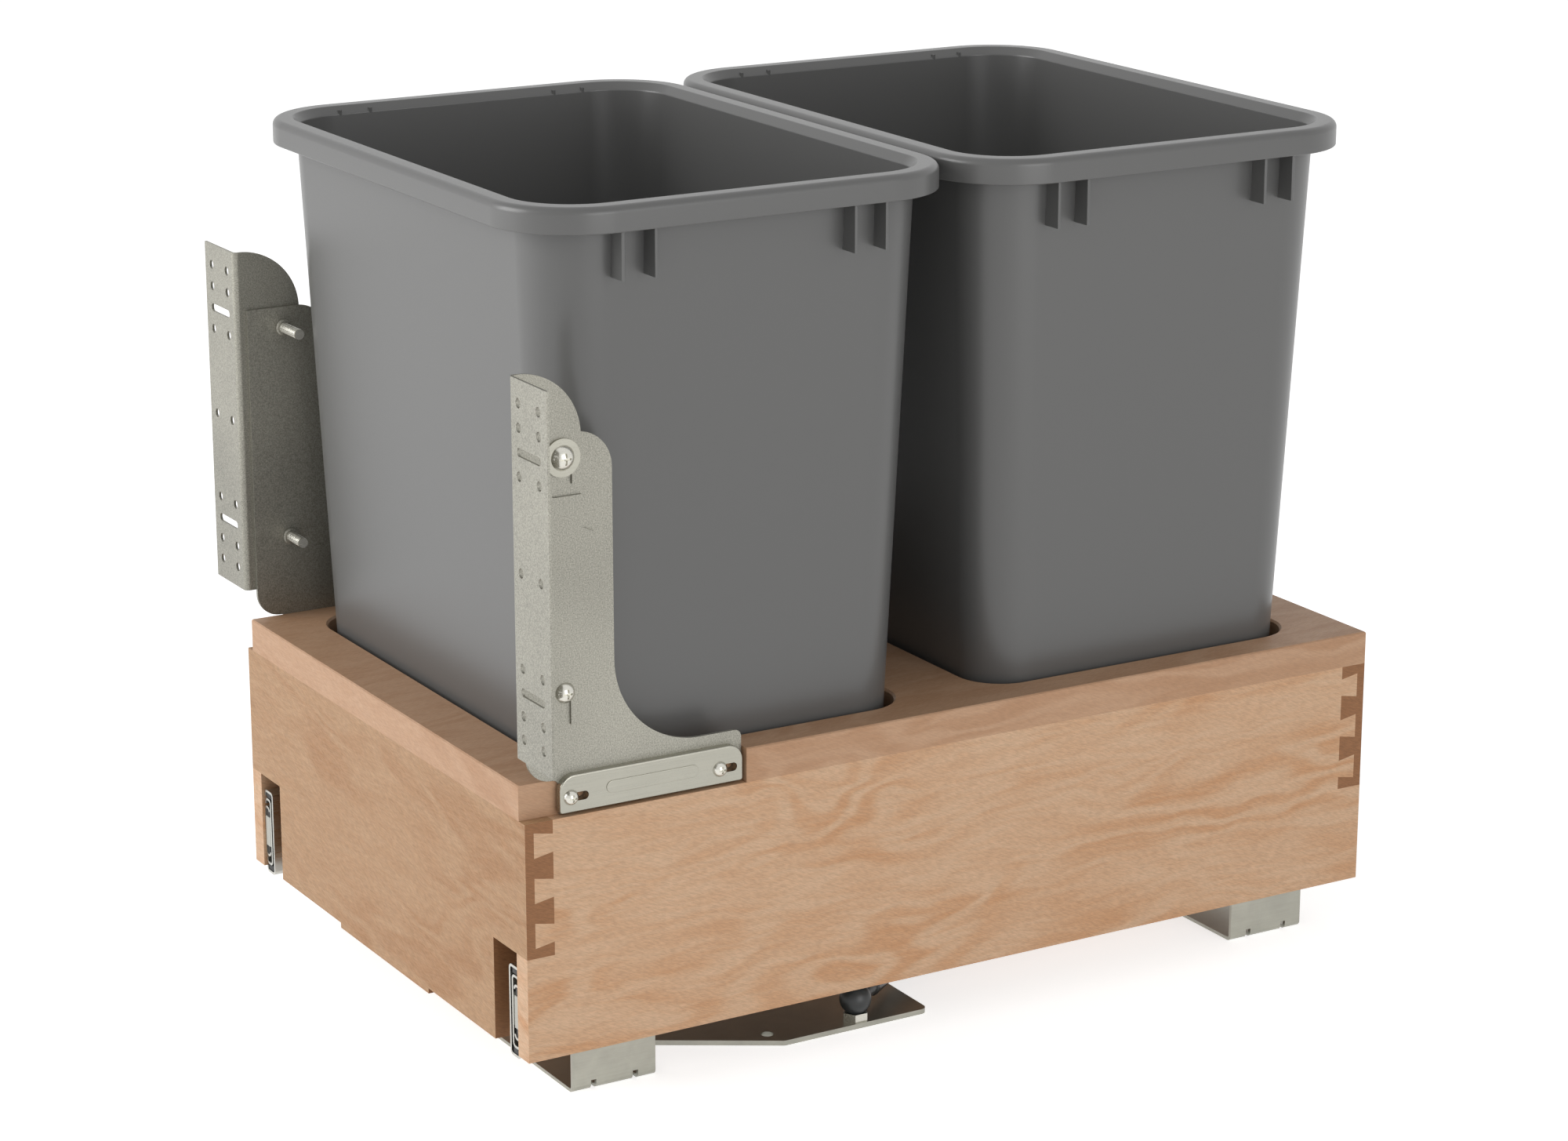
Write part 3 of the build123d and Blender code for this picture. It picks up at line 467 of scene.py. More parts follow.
@dataclass(frozen=True)
class Veneer(Finish):
    """Lacquered veneer, with darker end grain where a board is cut across."""

    warm: Color = (0.5, 0.3, 0.2)
    end_color: Color = (0.3, 0.18, 0.1)
    end_grain: EndGrain = EndGrain.NONE
    contrast: float = 0.8
    ripple: float = 0.5

    def pattern(self, graph: Graph, place: Socket) -> bpy.types.Node:
        """Add the veneer, and the end grain over it.

        Args:
            graph: The material's graph.
            place: Object coordinates.

        Returns:
            The group's node.
        """
        normal = graph.node("ShaderNodeTexCoord").outputs["Normal"]
        direction = graph.node("ShaderNodeGroup", {"Vector": place, "Normal": normal},
                               node_tree=SharedEffects.board_direction()).outputs
        light, warm = self.color, self.warm
        if self.end_grain is not EndGrain.NONE:
            cut = direction[self.end_grain.value]
            light, warm = (graph.blend(cut, color, self.end_color) for color in (light, warm))
        return graph.node("ShaderNodeGroup", {
            "Vector": direction["Vector"], "Light": light, "Warm": warm, "Contrast": self.contrast,
            "Ripple": self.ripple}, node_tree=SharedEffects.veneer_figure())


SIDE_MAPLE = Veneer("maple sides", from_screen(216, 180, 147), warm=from_screen(201, 148, 104),
                    specular=0.3, bump=0.3, contrast=0.8, ripple=0.75)
# Front and rear boards use a darker copy of the maple. This is painted shade that offsets the stronger front
# key lamp on their faces. The darker end grain on their side faces is the wood's own.
SHADED_END_MAPLE = Veneer("maple ends with painted shade", from_screen(184, 147, 111), warm=from_screen(168, 122, 81),
                   end_color=from_screen(152, 106, 70), end_grain=EndGrain.SIDE_FACES, specular=0.3, bump=0.3,
                   contrast=0.75, ripple=0.85)
TOP_MAPLE = Veneer("maple top", from_screen(196, 158, 127), warm=from_screen(178, 135, 101), specular=0.3,
                   bump=0.25, contrast=0.7, ripple=0.5)
BIN_GREY = MouldedPlastic("grey bin plastic", from_screen(93, 93, 92), roughness=0.33, bump=0.1,
                          contrast=0.05, specular=0.6)
SLIDE_STEEL = PlatedMetal("rolled slide steel", from_screen(190, 190, 184), roughness=0.3, metallic=1.0)
ZINC = PlatedMetal("brushed zinc plate", from_screen(163, 162, 152), roughness=0.36, metallic=1.0,
                   contrast=0.22, clouds=0.4)
BRACKET_STEEL = MouldedPlastic("speckled bracket steel", from_screen(149, 147, 137), roughness=0.46,
                               metallic=0.7, grain=1350.0, contrast=1.8, bump=0.5)
SATIN_NICKEL = PlatedMetal("satin nickel", from_screen(165, 163, 152), roughness=0.3, metallic=1.0,
                           stretch=(700.0, 25.0, 1400.0), contrast=0.14)
BRIGHT_NICKEL = PlatedMetal("bright nickel", from_screen(208, 206, 197), roughness=0.24, metallic=1.0,
                            contrast=0.1, clouds=0.06)
BALL_STEEL = PlatedMetal("bearing ball steel", from_screen(205, 205, 205), roughness=0.1, metallic=1.0,
                         contrast=0.05, clouds=0.04)
ROD_CHROME = PlatedMetal("chromed rod", from_screen(215, 215, 215), roughness=0.08, metallic=1.0,
                         contrast=0.05, clouds=0.03)
END_PLASTIC = MouldedPlastic("pale end block plastic", from_screen(178, 178, 170), roughness=0.5,
                             contrast=0.08)
BLACK_PLASTIC = MouldedPlastic("black moulded plastic", from_screen(28, 28, 27), roughness=0.5, contrast=0.2)
STRUT_PLASTIC = MouldedPlastic("dark socket plastic", from_screen(46, 49, 50), roughness=0.38, contrast=0.15)
STRUT_PAINT = MouldedPlastic("satin black paint", from_screen(34, 34, 34), roughness=0.4, coat=0.3)
RUBBER = MouldedPlastic("black rubber", from_screen(30, 30, 30), roughness=0.7, contrast=0.25)


class ShapeTree(Graph):
    """A Geometry Nodes tree with named inputs for its sizes, and what makes plain meshes with it."""

    def __init__(self, name: str, inputs: dict[str, str]) -> None:
        """Start the tree.

        Args:
            name: The tree's name.
            inputs: Socket type of each named input.
        """
        super().__init__(bpy.data.node_groups.new(name, "GeometryNodeTree"))
        sockets = {"Geometry": "NodeSocketGeometry", **inputs, "Finish": "NodeSocketMaterial"}
        for socket_name, kind in sockets.items():
            self.tree.interface.new_socket(name=socket_name, in_out="INPUT", socket_type=kind)
        self.tree.interface.new_socket(name="Geometry", in_out="OUTPUT", socket_type="NodeSocketGeometry")
        self.source = self.node("NodeGroupInput")

    def given(self, name: str) -> Socket:
        """Return a named input's socket."""
        return self.source.outputs[name]

    def end(self, geometry: Socket) -> None:
        """Close the tree: real geometry only, with the finish set.

        Args:
            geometry: What the tree has made.
        """
        real = self.node("GeometryNodeRealizeInstances", {"Geometry": geometry})
        dressed = self.node("GeometryNodeSetMaterial", {"Geometry": real.outputs[0],
                                                        "Material": self.given("Finish")})
        target = self.node("NodeGroupOutput")
        self.tree.links.new(dressed.outputs[0], target.inputs[0])

    def unite(self, *parts: Socket) -> Socket:
        """Join several geometries.

        Args:
            *parts: Their sockets.

        Returns:
            The joined geometry's socket.
        """
        made = self.node("GeometryNodeJoinGeometry")
        for part in parts:
            self.tree.links.new(part, made.inputs[0])
        return made.outputs[0]

    def weld(self, geometry: Socket) -> Socket:
        """Return a geometry whose points that lie on each other are one."""
        return self.node("GeometryNodeMergeByDistance", {"Geometry": geometry, "Distance": WELD}).outputs[0]

    def rounded_face(self, width: Socket, height: Socket, radius: Socket, steps: Value) -> Socket:
        """Fill a rounded rectangle round the origin.

        Args:
            width: Its size along X.
            height: Its size along Y.
            radius: Radius of its corners.
            steps: Steps of each corner.

        Returns:
            The face's geometry socket.
        """
        outline = self.node("GeometryNodeCurvePrimitiveQuadrilateral", {"Width": width, "Height": height})
        rounded = self.node("GeometryNodeFilletCurve", {
            "Curve": outline.outputs[0], "Count": steps, "Radius": radius}, mode="POLY")
        return self.node("GeometryNodeFillCurve", {"Curve": rounded.outputs[0]}, mode="NGONS").outputs[0]

    def move(self, geometry: Socket, place: Value) -> Socket:
        """Return a geometry moved by a vector."""
        return self.node("GeometryNodeTransform", {"Geometry": geometry, "Translation": place}).outputs[0]

    def make(self, name: str, values: dict[str, object], finish: Finish,
             start: bpy.types.Mesh | None = None, even_shading: bool = False) -> bpy.types.Object:
        """Run the tree and keep its result as a plain mesh object at the origin.

        Args:
            name: Name of the new piece.
            values: Values of the named inputs.
            finish: The piece's finish.
            start: Mesh that the tree starts from, where it needs one.
            even_shading: Whether large faces keep their own shading beside small round ones.

        Returns:
            The new piece.
        """
        holder = add_object(name + "_maker", start or bpy.data.meshes.new(name + "_start"))
        modifier = holder.modifiers.new("shape", "NODES")
        modifier.node_group = self.tree
        given = {**values, "Finish": finish.material()}
        for item in self.tree.interface.items_tree:
            if item.item_type == "SOCKET" and item.in_out == "INPUT" and item.name in given:
                modifier[item.identifier] = given[item.name]
        if even_shading:
            holder.modifiers.new("even shading", "WEIGHTED_NORMAL").keep_sharp = True
        depsgraph = bpy.context.evaluated_depsgraph_get()
        mesh = bpy.data.meshes.new_from_object(holder.evaluated_get(depsgraph), depsgraph=depsgraph)
        bpy.data.objects.remove(holder)
        mesh.name = name
        return add_object(name, mesh)


@dataclass
class WoodBox:
    """The dovetailed box: two ends, two sides, the top with its two openings, and the bottom."""

    finishes: dict[str, Veneer] = field(default_factory=lambda: {
        "top_panel": TOP_MAPLE, "bottom_panel": TOP_MAPLE, "front_panel": SHADED_END_MAPLE, "rear_panel": SHADED_END_MAPLE,
        "side_panel_left": SIDE_MAPLE, "side_panel_right": SIDE_MAPLE})

    def dress(self, nodes: dict[str, bpy.types.Object]) -> None:
        """Give the panels their veneer.

        Args:
            nodes: The frame's solids by name.
        """
        for name, finish in self.finishes.items():
            finish.dress(nodes[name])
        LOG.info("wood box: %d panels", len(self.finishes))


@dataclass(frozen=True)
class WallPoint:
    """A point of a bin's wall section: inset from the rim's outer face, height, and corner radius."""

    inset: float
    height: float
    corner: float


@dataclass
class WasteBin:
    """A tapered bin with a turned down rim, swept as one wall section round a rounded rectangle."""

    width: float = 365.0
    depth: float = 266.0
    corner_radius: float = 49.0
    bottom: float = 41.2
    height: float = 454.0
    overhang: float = 13.2
    wall: float = 2.2
    floor: float = 3.0
    taper: float = 18.2
    foot_corner: float = 27.0
    foot_round: float = 5.0
    inner_foot_round: float = 3.5
    skirt: float = 14.2
    skirt_round: float = 0.7
    rim_round: float = 4.0
    crest_round: float = 1.2
    bevel_width: float = 3.9
    bevel_height: float = 4.5
    under_chamfer: float = 1.0
    blend_inset: float = 0.4
    blend_rise: float = 0.5
    blend_drop: float = 0.6
    rib_offsets: tuple[float, float] = (60.5, 79.8)
    rib_thickness: float = 1.9
    rib_drop: float = 26.0
    rib_sink: float = 0.8
    rib_round_share: float = 0.3
    rib_round_steps: int = 3
    corner_steps: int = 20
    round_steps: int = 6

    @property
    def top(self) -> float:
        """Height of the rim's top."""
        return self.bottom + self.height

    def body_point(self, height: float, inward: float = 0.0) -> WallPoint:
        """Return a point of the tapered body.

        Args:
            height: Height above the cabinet floor.
            inward: Distance inside the outer face.

        Returns:
            The point, with the corner radius that the taper gives it.
        """
        share = (self.top - height) / self.height
        top_corner = self.corner_radius - self.overhang
        corner = top_corner + (self.foot_corner - top_corner) * share - inward
        return WallPoint(self.overhang + self.taper * share + inward, height, corner)

    def rim_point(self, inset: float, height: float) -> WallPoint:
        """Return a point of the rim, whose corner follows its outer face."""
        return WallPoint(inset, height, self.corner_radius - inset)

    def arc(self, centre: tuple[float, float], radius: float, start: float, end: float) -> list[WallPoint]:
        """Return points of a rounding on the rim.

        Args:
            centre: Inset and height of its centre.
            radius: Its radius.
            start: Angle of its start in degrees, from the inward direction.
            end: Angle of its end in degrees.

        Returns:
            The rounding's points.
        """
        points = []
        for step in range(self.round_steps + 1):
            angle = math.radians(start + (end - start) * step / self.round_steps)
            points.append(self.rim_point(centre[0] + radius * math.cos(angle),
                                         centre[1] + radius * math.sin(angle)))
        return points

    def foot_arc(self, base: float, radius: float, wall: float = 0.0) -> list[WallPoint]:
        """Return the rounding between a flat bottom and a face, from the bottom up.

        Args:
            base: Height of the flat bottom.
            radius: The rounding's radius.
            wall: Distance of the face inside the outer face.

        Returns:
            The rounding's points.
        """
        edge = self.body_point(base + radius, wall)
        points = []
        for step in range(self.round_steps + 1):
            angle = math.radians(90 * step / self.round_steps)
            inward = radius * (1 - math.sin(angle))
            points.append(WallPoint(edge.inset + inward, base + radius * (1 - math.cos(angle)),
                                    edge.corner - inward))
        return points

    def wall_section(self) -> list[WallPoint]:
        """Put the wall's section together.

        Returns:
            Its points, from the bottom up the outside, over the rim and down the inside.
        """
        top = self.top
        under = top - self.wall
        crest = self.overhang + self.wall - self.bevel_width
        slope = math.degrees(math.atan2(self.bevel_height, self.bevel_width))
        back = self.crest_round * math.tan(math.radians(slope) / 2)
        shoulder = self.body_point(under - self.bevel_height)
        return [
            *self.foot_arc(self.bottom, self.foot_round), shoulder,
            self.rim_point(self.overhang - self.bevel_width, under),
            self.rim_point(self.wall + self.under_chamfer, under),
            self.rim_point(self.wall, under - self.under_chamfer),
            self.rim_point(self.wall, top - self.skirt + self.skirt_round),
            *self.arc((self.skirt_round, top - self.skirt + self.skirt_round), self.skirt_round, 0, -180),
            *self.arc((self.rim_round, top - self.rim_round), self.rim_round, 180, 90),
            *self.arc((crest - back, top - self.crest_round), self.crest_round, 90, 90 - slope),
            self.rim_point(self.overhang + self.wall - self.blend_inset,
                           top - self.bevel_height + self.blend_rise),
            self.body_point(top - self.bevel_height - self.blend_drop, self.wall),
            *reversed(self.foot_arc(self.bottom + self.floor, self.inner_foot_round, self.wall)),
        ]

    def section_mesh(self, name: str) -> bpy.types.Mesh:
        """Return the section as points, with the corner radius as an attribute, in metres.

        Args:
            name: Name of the mesh.

        Returns:
            A mesh whose points are the section's, in order.
        """
        section = self.wall_section()
        mesh = bpy.data.meshes.new(name)
        mesh.from_pydata([(point.inset * MM, 0.0, point.height * MM) for point in section], [], [])
        corners = mesh.attributes.new("corner", "FLOAT", "POINT")
        corners.data.foreach_set("value", [point.corner * MM for point in section])
        return mesh

    def sweep_tree(self) -> ShapeTree:
        """Build the tree that sweeps a section round a rounded rectangle and closes its two ends.

        Returns:
            The tree.
        """
        tree = ShapeTree("bin sweep", {"Width": NUMBER, "Depth": NUMBER,
                                       "Centre": VECTOR, "Corner Steps": COUNT})
        section = tree.given("Geometry")
        count = tree.node("GeometryNodeAttributeDomainSize", {"Geometry": section}).outputs["Point Count"]
        stations = tree.plus(tree.given("Corner Steps"), 1.0)
        columns = tree.plus(tree.times(stations, 4.0), 1.0)
        grid = tree.node("GeometryNodeMeshGrid", {"Vertices X": columns, "Vertices Y": count})
        index = tree.node("GeometryNodeInputIndex").outputs[0]
        station = tree.math("FLOOR", tree.over(tree.plus(index, 0.5), count))
        level = tree.minus(index, tree.times(station, count))
        quarter = tree.math("FLOOR", tree.over(tree.plus(station, 0.5), stations))
        step = tree.minus(station, tree.times(quarter, stations))
        turn = tree.times(tree.plus(quarter, tree.math(
            "DIVIDE", step, tree.given("Corner Steps"))), math.pi / 2)
        middle = tree.times(tree.plus(quarter, 0.5), math.pi / 2)
        inset, height, radius = self.section_point(tree, section, level)
        x = self.around(tree, tree.given("Width"), inset, radius, tree.math("COSINE", middle),
                        tree.math("COSINE", turn))
        y = self.around(tree, tree.given("Depth"), inset, radius, tree.math("SINE", middle),
                        tree.math("SINE", turn))
        swept = tree.node("GeometryNodeSetPosition", {"Geometry": grid.outputs[0],
                                                      "Position": tree.join(x, y, height)}).outputs[0]
        merged = tree.weld(swept)
        ends = [self.end_face(tree, section, index, flipped) for index, flipped in
                ((0, True), (tree.minus(count, 1.0), False))]
        smooth = self.soften(tree, tree.weld(tree.unite(*ends, merged)))
        tree.end(tree.move(smooth, tree.given("Centre")))
        return tree

    @staticmethod
    def section_point(tree: ShapeTree, section: Socket, index: Value) -> tuple[Socket, Socket, Socket]:
        """Read one point of the section.

        Args:
            tree: The tree to build in.
            section: The section's points.
            index: Which of them to read.

        Returns:
            The point's inset, height and corner radius.
        """
        sources = (
            (tree.node("GeometryNodeInputPosition"), "FLOAT_VECTOR"),
            (tree.node("GeometryNodeInputNamedAttribute", {"Name": "corner"}, data_type="FLOAT"), "FLOAT"))
        place, corner = (tree.node("GeometryNodeSampleIndex", {
            "Geometry": section, "Index": index, "Value": source.outputs[0]}, data_type=kind).outputs[0]
            for source, kind in sources)
        inset, _, height = tree.split(place)
        return inset, height, corner

    @staticmethod
    def around(tree: ShapeTree, length: Socket, inset: Socket, radius: Socket, side: Socket,
               turn: Socket) -> Socket:
        """Return one coordinate of a point on a rounded corner, on the side that the sign of side gives."""
        half = tree.minus(tree.times(length, 0.5), tree.plus(inset, radius))
        return tree.plus(tree.times(tree.math("SIGN", side), half), tree.times(radius, turn))

    def end_face(self, tree: ShapeTree, section: Socket, index: Value, flipped: bool) -> Socket:
        """Fill the outline of one end of the section.

        Args:
            tree: The tree to build in.
            section: The section's points.
            index: Which of its points the outline passes.
            flipped: Whether the face looks down.

        Returns:
            The face's geometry socket.
        """
        inset, height, radius = self.section_point(tree, section, index)
        double = tree.times(inset, 2.0)
        face = tree.rounded_face(tree.minus(tree.given("Width"), double),
                                 tree.minus(tree.given("Depth"), double), radius, tree.given("Corner Steps"))
        lifted = tree.move(face, tree.join(0.0, 0.0, height))
        if not flipped:
            return lifted
        return tree.node("GeometryNodeFlipFaces", {"Mesh": lifted}).outputs[0]

    @staticmethod
    def soften(tree: ShapeTree, mesh: Socket) -> Socket:
        """Shade smoothly, apart from edges that turn by more than SHARP_TURN degrees.

        Args:
            tree: The tree to build in.
            mesh: The mesh to shade.

        Returns:
            The shaded mesh's socket.
        """
        faces = tree.node("GeometryNodeSetShadeSmooth", {"Geometry": mesh, "Shade Smooth": True},
                          domain="FACE")
        angle = tree.node("GeometryNodeInputMeshEdgeAngle").outputs["Unsigned Angle"]
        keep = tree.node("FunctionNodeCompare", {"A": angle, "B": math.radians(SHARP_TURN)},
                         data_type="FLOAT", operation="LESS_EQUAL")
        edges = tree.node("GeometryNodeSetShadeSmooth", {"Geometry": faces.outputs[0],
                                                         "Shade Smooth": keep.outputs[0]}, domain="EDGE")
        return edges.outputs[0]

    def rib_tree(self) -> ShapeTree:
        """Build the tree that sets an upright rib, round at its edges, on each given point.

        Returns:
            The tree.
        """
        tree = ShapeTree("bin ribs", {"Reach": NUMBER, "Thickness": NUMBER, "Drop": NUMBER})
        thickness = tree.given("Thickness")
        face = tree.rounded_face(tree.given("Reach"), thickness, tree.times(thickness, self.rib_round_share),
                                 self.rib_round_steps)
        drawn = tree.node("GeometryNodeExtrudeMesh", {
            "Mesh": face, "Offset": tree.join(0.0, 0.0, 1.0), "Offset Scale": tree.given("Drop"),
            "Individual": False}, mode="FACES")
        base = tree.node("GeometryNodeFlipFaces", {"Mesh": face})
        closed = tree.weld(tree.unite(base.outputs[0], drawn.outputs["Mesh"]))
        ribs = tree.node("GeometryNodeInstanceOnPoints", {"Points": tree.given("Geometry"),
                                                          "Instance": closed})
        tree.end(ribs.outputs[0])
        return tree

    def rib_points(self, name: str, centre_y: float) -> bpy.types.Mesh:
        """Return the middle of each rib's lower end, in metres.

        Args:
            name: Name of the mesh.
            centre_y: Where the bin's middle is, in metres.

        Returns:
            A mesh with one point for each rib.
        """
        low = self.top - self.skirt - self.rib_drop
        inner = self.width / 2 - self.body_point(low).inset - self.rib_sink
        outer = self.width / 2 - self.wall
        points = [(side * (inner + outer) / 2 * MM, centre_y + way * offset * MM, low * MM)
                  for side in (-1, 1) for way in (-1, 1) for offset in self.rib_offsets]
        mesh = bpy.data.meshes.new(name)
        mesh.from_pydata(points, [], [])
        return mesh

    def build(self, nodes: tuple[str, ...] = ("bin_front", "bin_rear")) -> None:
        """Make each bin and its ribs in the place of its solid.

        Args:
            nodes: The solids that the bins stand for. Their bodies have the same names.
        """
        sweep, ribs = self.sweep_tree(), self.rib_tree()
        low = self.top - self.skirt - self.rib_drop
        reach = self.body_point(low).inset + self.rib_sink - self.wall
        for node in nodes:
            lowest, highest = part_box(node)
            centre_y = (lowest.y + highest.y) / 2
            shell = sweep.make(node + "_shell", {
                "Width": self.width * MM, "Depth": self.depth * MM, "Centre": (0.0, centre_y, 0.0),
                "Corner Steps": self.corner_steps}, BIN_GREY, self.section_mesh(node + "_section"),
                even_shading=True)
            fins = ribs.make(node + "_ribs", {
                "Reach": reach * MM, "Thickness": self.rib_thickness * MM,
                "Drop": (self.rib_drop + self.skirt - self.wall) * MM}, BIN_GREY,
                self.rib_points(node + "_rib_points", centre_y))
            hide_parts(node)
            for piece in (shell, fins):
                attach(piece, node)
                LOG.info("%s: %d faces", piece.name, len(piece.data.polygons))


@dataclass
class BoltThreads:
    """Threads on the two bolts of each door bracket, inboard of the arm."""

    pitch: float = 1.0
    depth: float = 0.34
    core_radius: float = 2.86
    arm_face: float = 175.85
    boss: float = 2.2
    tip_gap: float = 0.9
    turn_steps: int = 14
    ridge_sides: int = 5

    def thread_tree(self) -> ShapeTree:
        """Build the tree that winds a thread along X from a given place.

        Returns:
            The tree.
        """
        tree = ShapeTree("bolt thread", {
            "Length": NUMBER, "Pitch": NUMBER, "Radius": NUMBER,
            "Depth": NUMBER, "Turn Steps": COUNT, "Place": VECTOR})
        spiral = tree.node("GeometryNodeCurveSpiral", {
            "Resolution": tree.given("Turn Steps"),
            "Rotations": tree.over(tree.given("Length"), tree.given("Pitch")),
            "Start Radius": tree.given("Radius"), "End Radius": tree.given("Radius"),
            "Height": tree.given("Length")})
        ridge = tree.node("GeometryNodeCurvePrimitiveCircle", {"Resolution": self.ridge_sides,
                                                               "Radius": tree.given("Depth")})
        wound = tree.node("GeometryNodeCurveToMesh", {"Curve": spiral.outputs[0],
                                                      "Profile Curve": ridge.outputs[0], "Fill Caps": True})
        laid = tree.node("GeometryNodeTransform", {"Geometry": wound.outputs[0],
                                                   "Rotation": (0.0, math.pi / 2, 0.0),
                                                   "Translation": tree.given("Place")})
        tree.end(laid.outputs[0])
        return tree

    def build(self) -> None:
        """Wind a thread on each bolt. Its tip and its middle are read from the bolt's solid."""
        tree = self.thread_tree()
        for side, way in (("left", -1), ("right", 1)):
            for place in ("upper", "lower"):
                lowest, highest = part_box(f"{place}_bolt_{side}")
                tip = highest.x if way < 0 else lowest.x
                face = way * (self.arm_face - self.boss) * MM
                start, end = sorted((tip + way * self.tip_gap * MM, face))
                middle = (lowest + highest) / 2
                thread = tree.make(f"{place}_bolt_thread_{side}", {
                    "Length": end - start, "Pitch": self.pitch * MM, "Radius": self.core_radius * MM,
                    "Depth": self.depth * MM, "Turn Steps": self.turn_steps,
                    "Place": (start, middle.y, middle.z)}, BRIGHT_NICKEL)
                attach(thread, f"arm_{side}")
                LOG.info("%s: %d faces", thread.name, len(thread.data.polygons))


@dataclass
class BallRows:
    """Rows of bearing balls in the cages, the same in all of them."""

    per_row: int = 10
    rings: int = 12
    segments: int = 18
    rows: tuple[str, ...] = ("outer", "inner")

    @staticmethod
    def row_tree() -> ShapeTree:
        """Build the tree that sets a ball on each place of two rows.

        Returns:
            The tree.
        """
        tree = ShapeTree("ball rows", {
            "Balls": COUNT, "Pitch": NUMBER, "Radius": NUMBER,
            "Start": VECTOR, "Rise": NUMBER, "Rings": COUNT,
            "Segments": COUNT})
        low = tree.node("GeometryNodeMeshLine", {
            "Count": tree.given("Balls"), "Start Location": tree.given("Start"),
            "Offset": tree.join(0.0, tree.given("Pitch"), 0.0)})
        high = tree.move(low.outputs[0], tree.join(0.0, 0.0, tree.given("Rise")))
        both = tree.unite(low.outputs[0], high)
        ball = tree.node("GeometryNodeMeshUVSphere", {"Segments": tree.given("Segments"),
                                                      "Rings": tree.given("Rings"),
                                                      "Radius": tree.given("Radius")})
        smooth = tree.node("GeometryNodeSetShadeSmooth", {"Geometry": ball.outputs[0], "Shade Smooth": True})
        set_out = tree.node("GeometryNodeInstanceOnPoints", {"Points": both,
                                                             "Instance": smooth.outputs[0]})
        tree.end(set_out.outputs[0])
        return tree

    def build(self) -> None:
        """Make the balls of each cage in the place of its solid."""
        tree = self.row_tree()
        for side in SIDES:
            for row in self.rows:
                node = f"{row}_balls_{side}"
                lowest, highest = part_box(node)
                radius = (highest.x - lowest.x) / 2
                balls = tree.make(f"{row}_bearing_balls_{side}", {
                    "Balls": self.per_row, "Radius": radius, "Rings": self.rings, "Segments": self.segments,
                    "Pitch": (highest.y - lowest.y - 2 * radius) / (self.per_row - 1),
                    "Start": tuple(lowest + Vector((radius, radius, radius))),
                    "Rise": highest.z - lowest.z - 2 * radius}, BALL_STEEL)
                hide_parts(node)
                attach(balls, f"{row}_cage_{side}")
                LOG.info("%s: %d faces", balls.name, len(balls.data.polygons))


@dataclass
class FrontGuides:
    """Black guide bits in the slides' front ends, round the middle member and in the drawer member."""

    cabinet_sheet: float = 1.5
    drawer_sheet: float = 1.4
    gap: float = 0.25
    fit: float = 0.05
    setback: float = 0.4
    outer_depth: float = 1.0
    inner_depth: float = 7.0
    edge: float = 0.3
    edge_steps: int = 3

    def bit(self, name: str, low: Vector, high: Vector) -> bpy.types.Object:
        """Make one bit between two corners, with its edges rounded.

        Args:
            name: The bit's name.
            low: Its lowest corner, in metres.
            high: Its highest corner.

        Returns:
            The new piece.
        """
        form = bmesh.new()
        bmesh.ops.create_cube(form, size=1.0)
        span = high - low
        for vertex in form.verts:
            vertex.co = Vector([low[axis] + (vertex.co[axis] + 0.5) * span[axis] for axis in range(3)])
        bmesh.ops.bevel(form, geom=form.edges[:], offset=self.edge * MM, segments=self.edge_steps,
                        profile=0.5, affect="EDGES")
        mesh = bpy.data.meshes.new(name)
        form.to_mesh(mesh)
        form.free()
        for face in mesh.polygons:
            face.use_smooth = True
        piece = add_object(name, mesh)
        BLACK_PLASTIC.dress(piece)
        return piece

    @staticmethod
    def across(side: str, inner: float, outer: float) -> tuple[float, float]:
        """Return the lower and the higher X of a bit, from its faces' distances to the frame's middle."""
        return (inner, outer) if side == "right" else (-outer, -inner)

    def build(self) -> None:
        """Make the bits of both slides, placed by the members' solids."""
        fit = self.fit * MM
        gap = self.gap * MM
        outside = self.cabinet_sheet * MM + fit
        inside = self.drawer_sheet * MM + fit
        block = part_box("slide_end_blocks")
        for side in SIDES:
            cabinet, middle, drawer = (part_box(f"{name}_member_{side}") for name in (
                "cabinet", "middle", "drawer"))
            front = middle[0].y + self.setback * MM
            self.add_pair(f"outer_front_guide_{side}", "base", side, (front, front + self.outer_depth * MM),
                          (self.reach(middle)[0], self.reach(cabinet)[1] - outside),
                          (middle[1].z + gap, cabinet[1].z - outside),
                          (cabinet[0].z + outside, middle[0].z - gap))
            near, far = self.reach(drawer)
            self.add_pair(f"inner_front_guide_{side}", "frame", side, (front, front + self.inner_depth * MM),
                          (near + inside, far - inside),
                          (block[1].z + fit, drawer[1].z - inside), (drawer[0].z + inside, block[0].z - fit))

    @staticmethod
    def reach(corners: tuple[Vector, Vector]) -> tuple[float, float]:
        """Return the nearest and farthest distance of a solid from the frame's middle."""
        return tuple(sorted((abs(corners[0].x), abs(corners[1].x))))

    def add_pair(self, name: str, body: str, side: str, ends: tuple[float, float],
                 span: tuple[float, float], *heights: tuple[float, float]) -> None:
        """Add the upper and the lower bit of one member.

        Args:
            name: Start of the bits' names.
            body: The body that they ride.
            side: Left or right.
            ends: Y of their front and rear faces.
            span: Distance of their inner and outer faces from the frame's middle.
            *heights: Lower and upper end of each bit.
        """
        low_x, high_x = self.across(side, *span)
        for place, (low_z, high_z) in zip(("upper", "lower"), heights):
            piece = self.bit(f"{name}_{place}", Vector((low_x, ends[0], low_z)),
                             Vector((high_x, ends[1], high_z)))
            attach(piece, body)
            LOG.info("%s: %d faces", piece.name, len(piece.data.polygons))


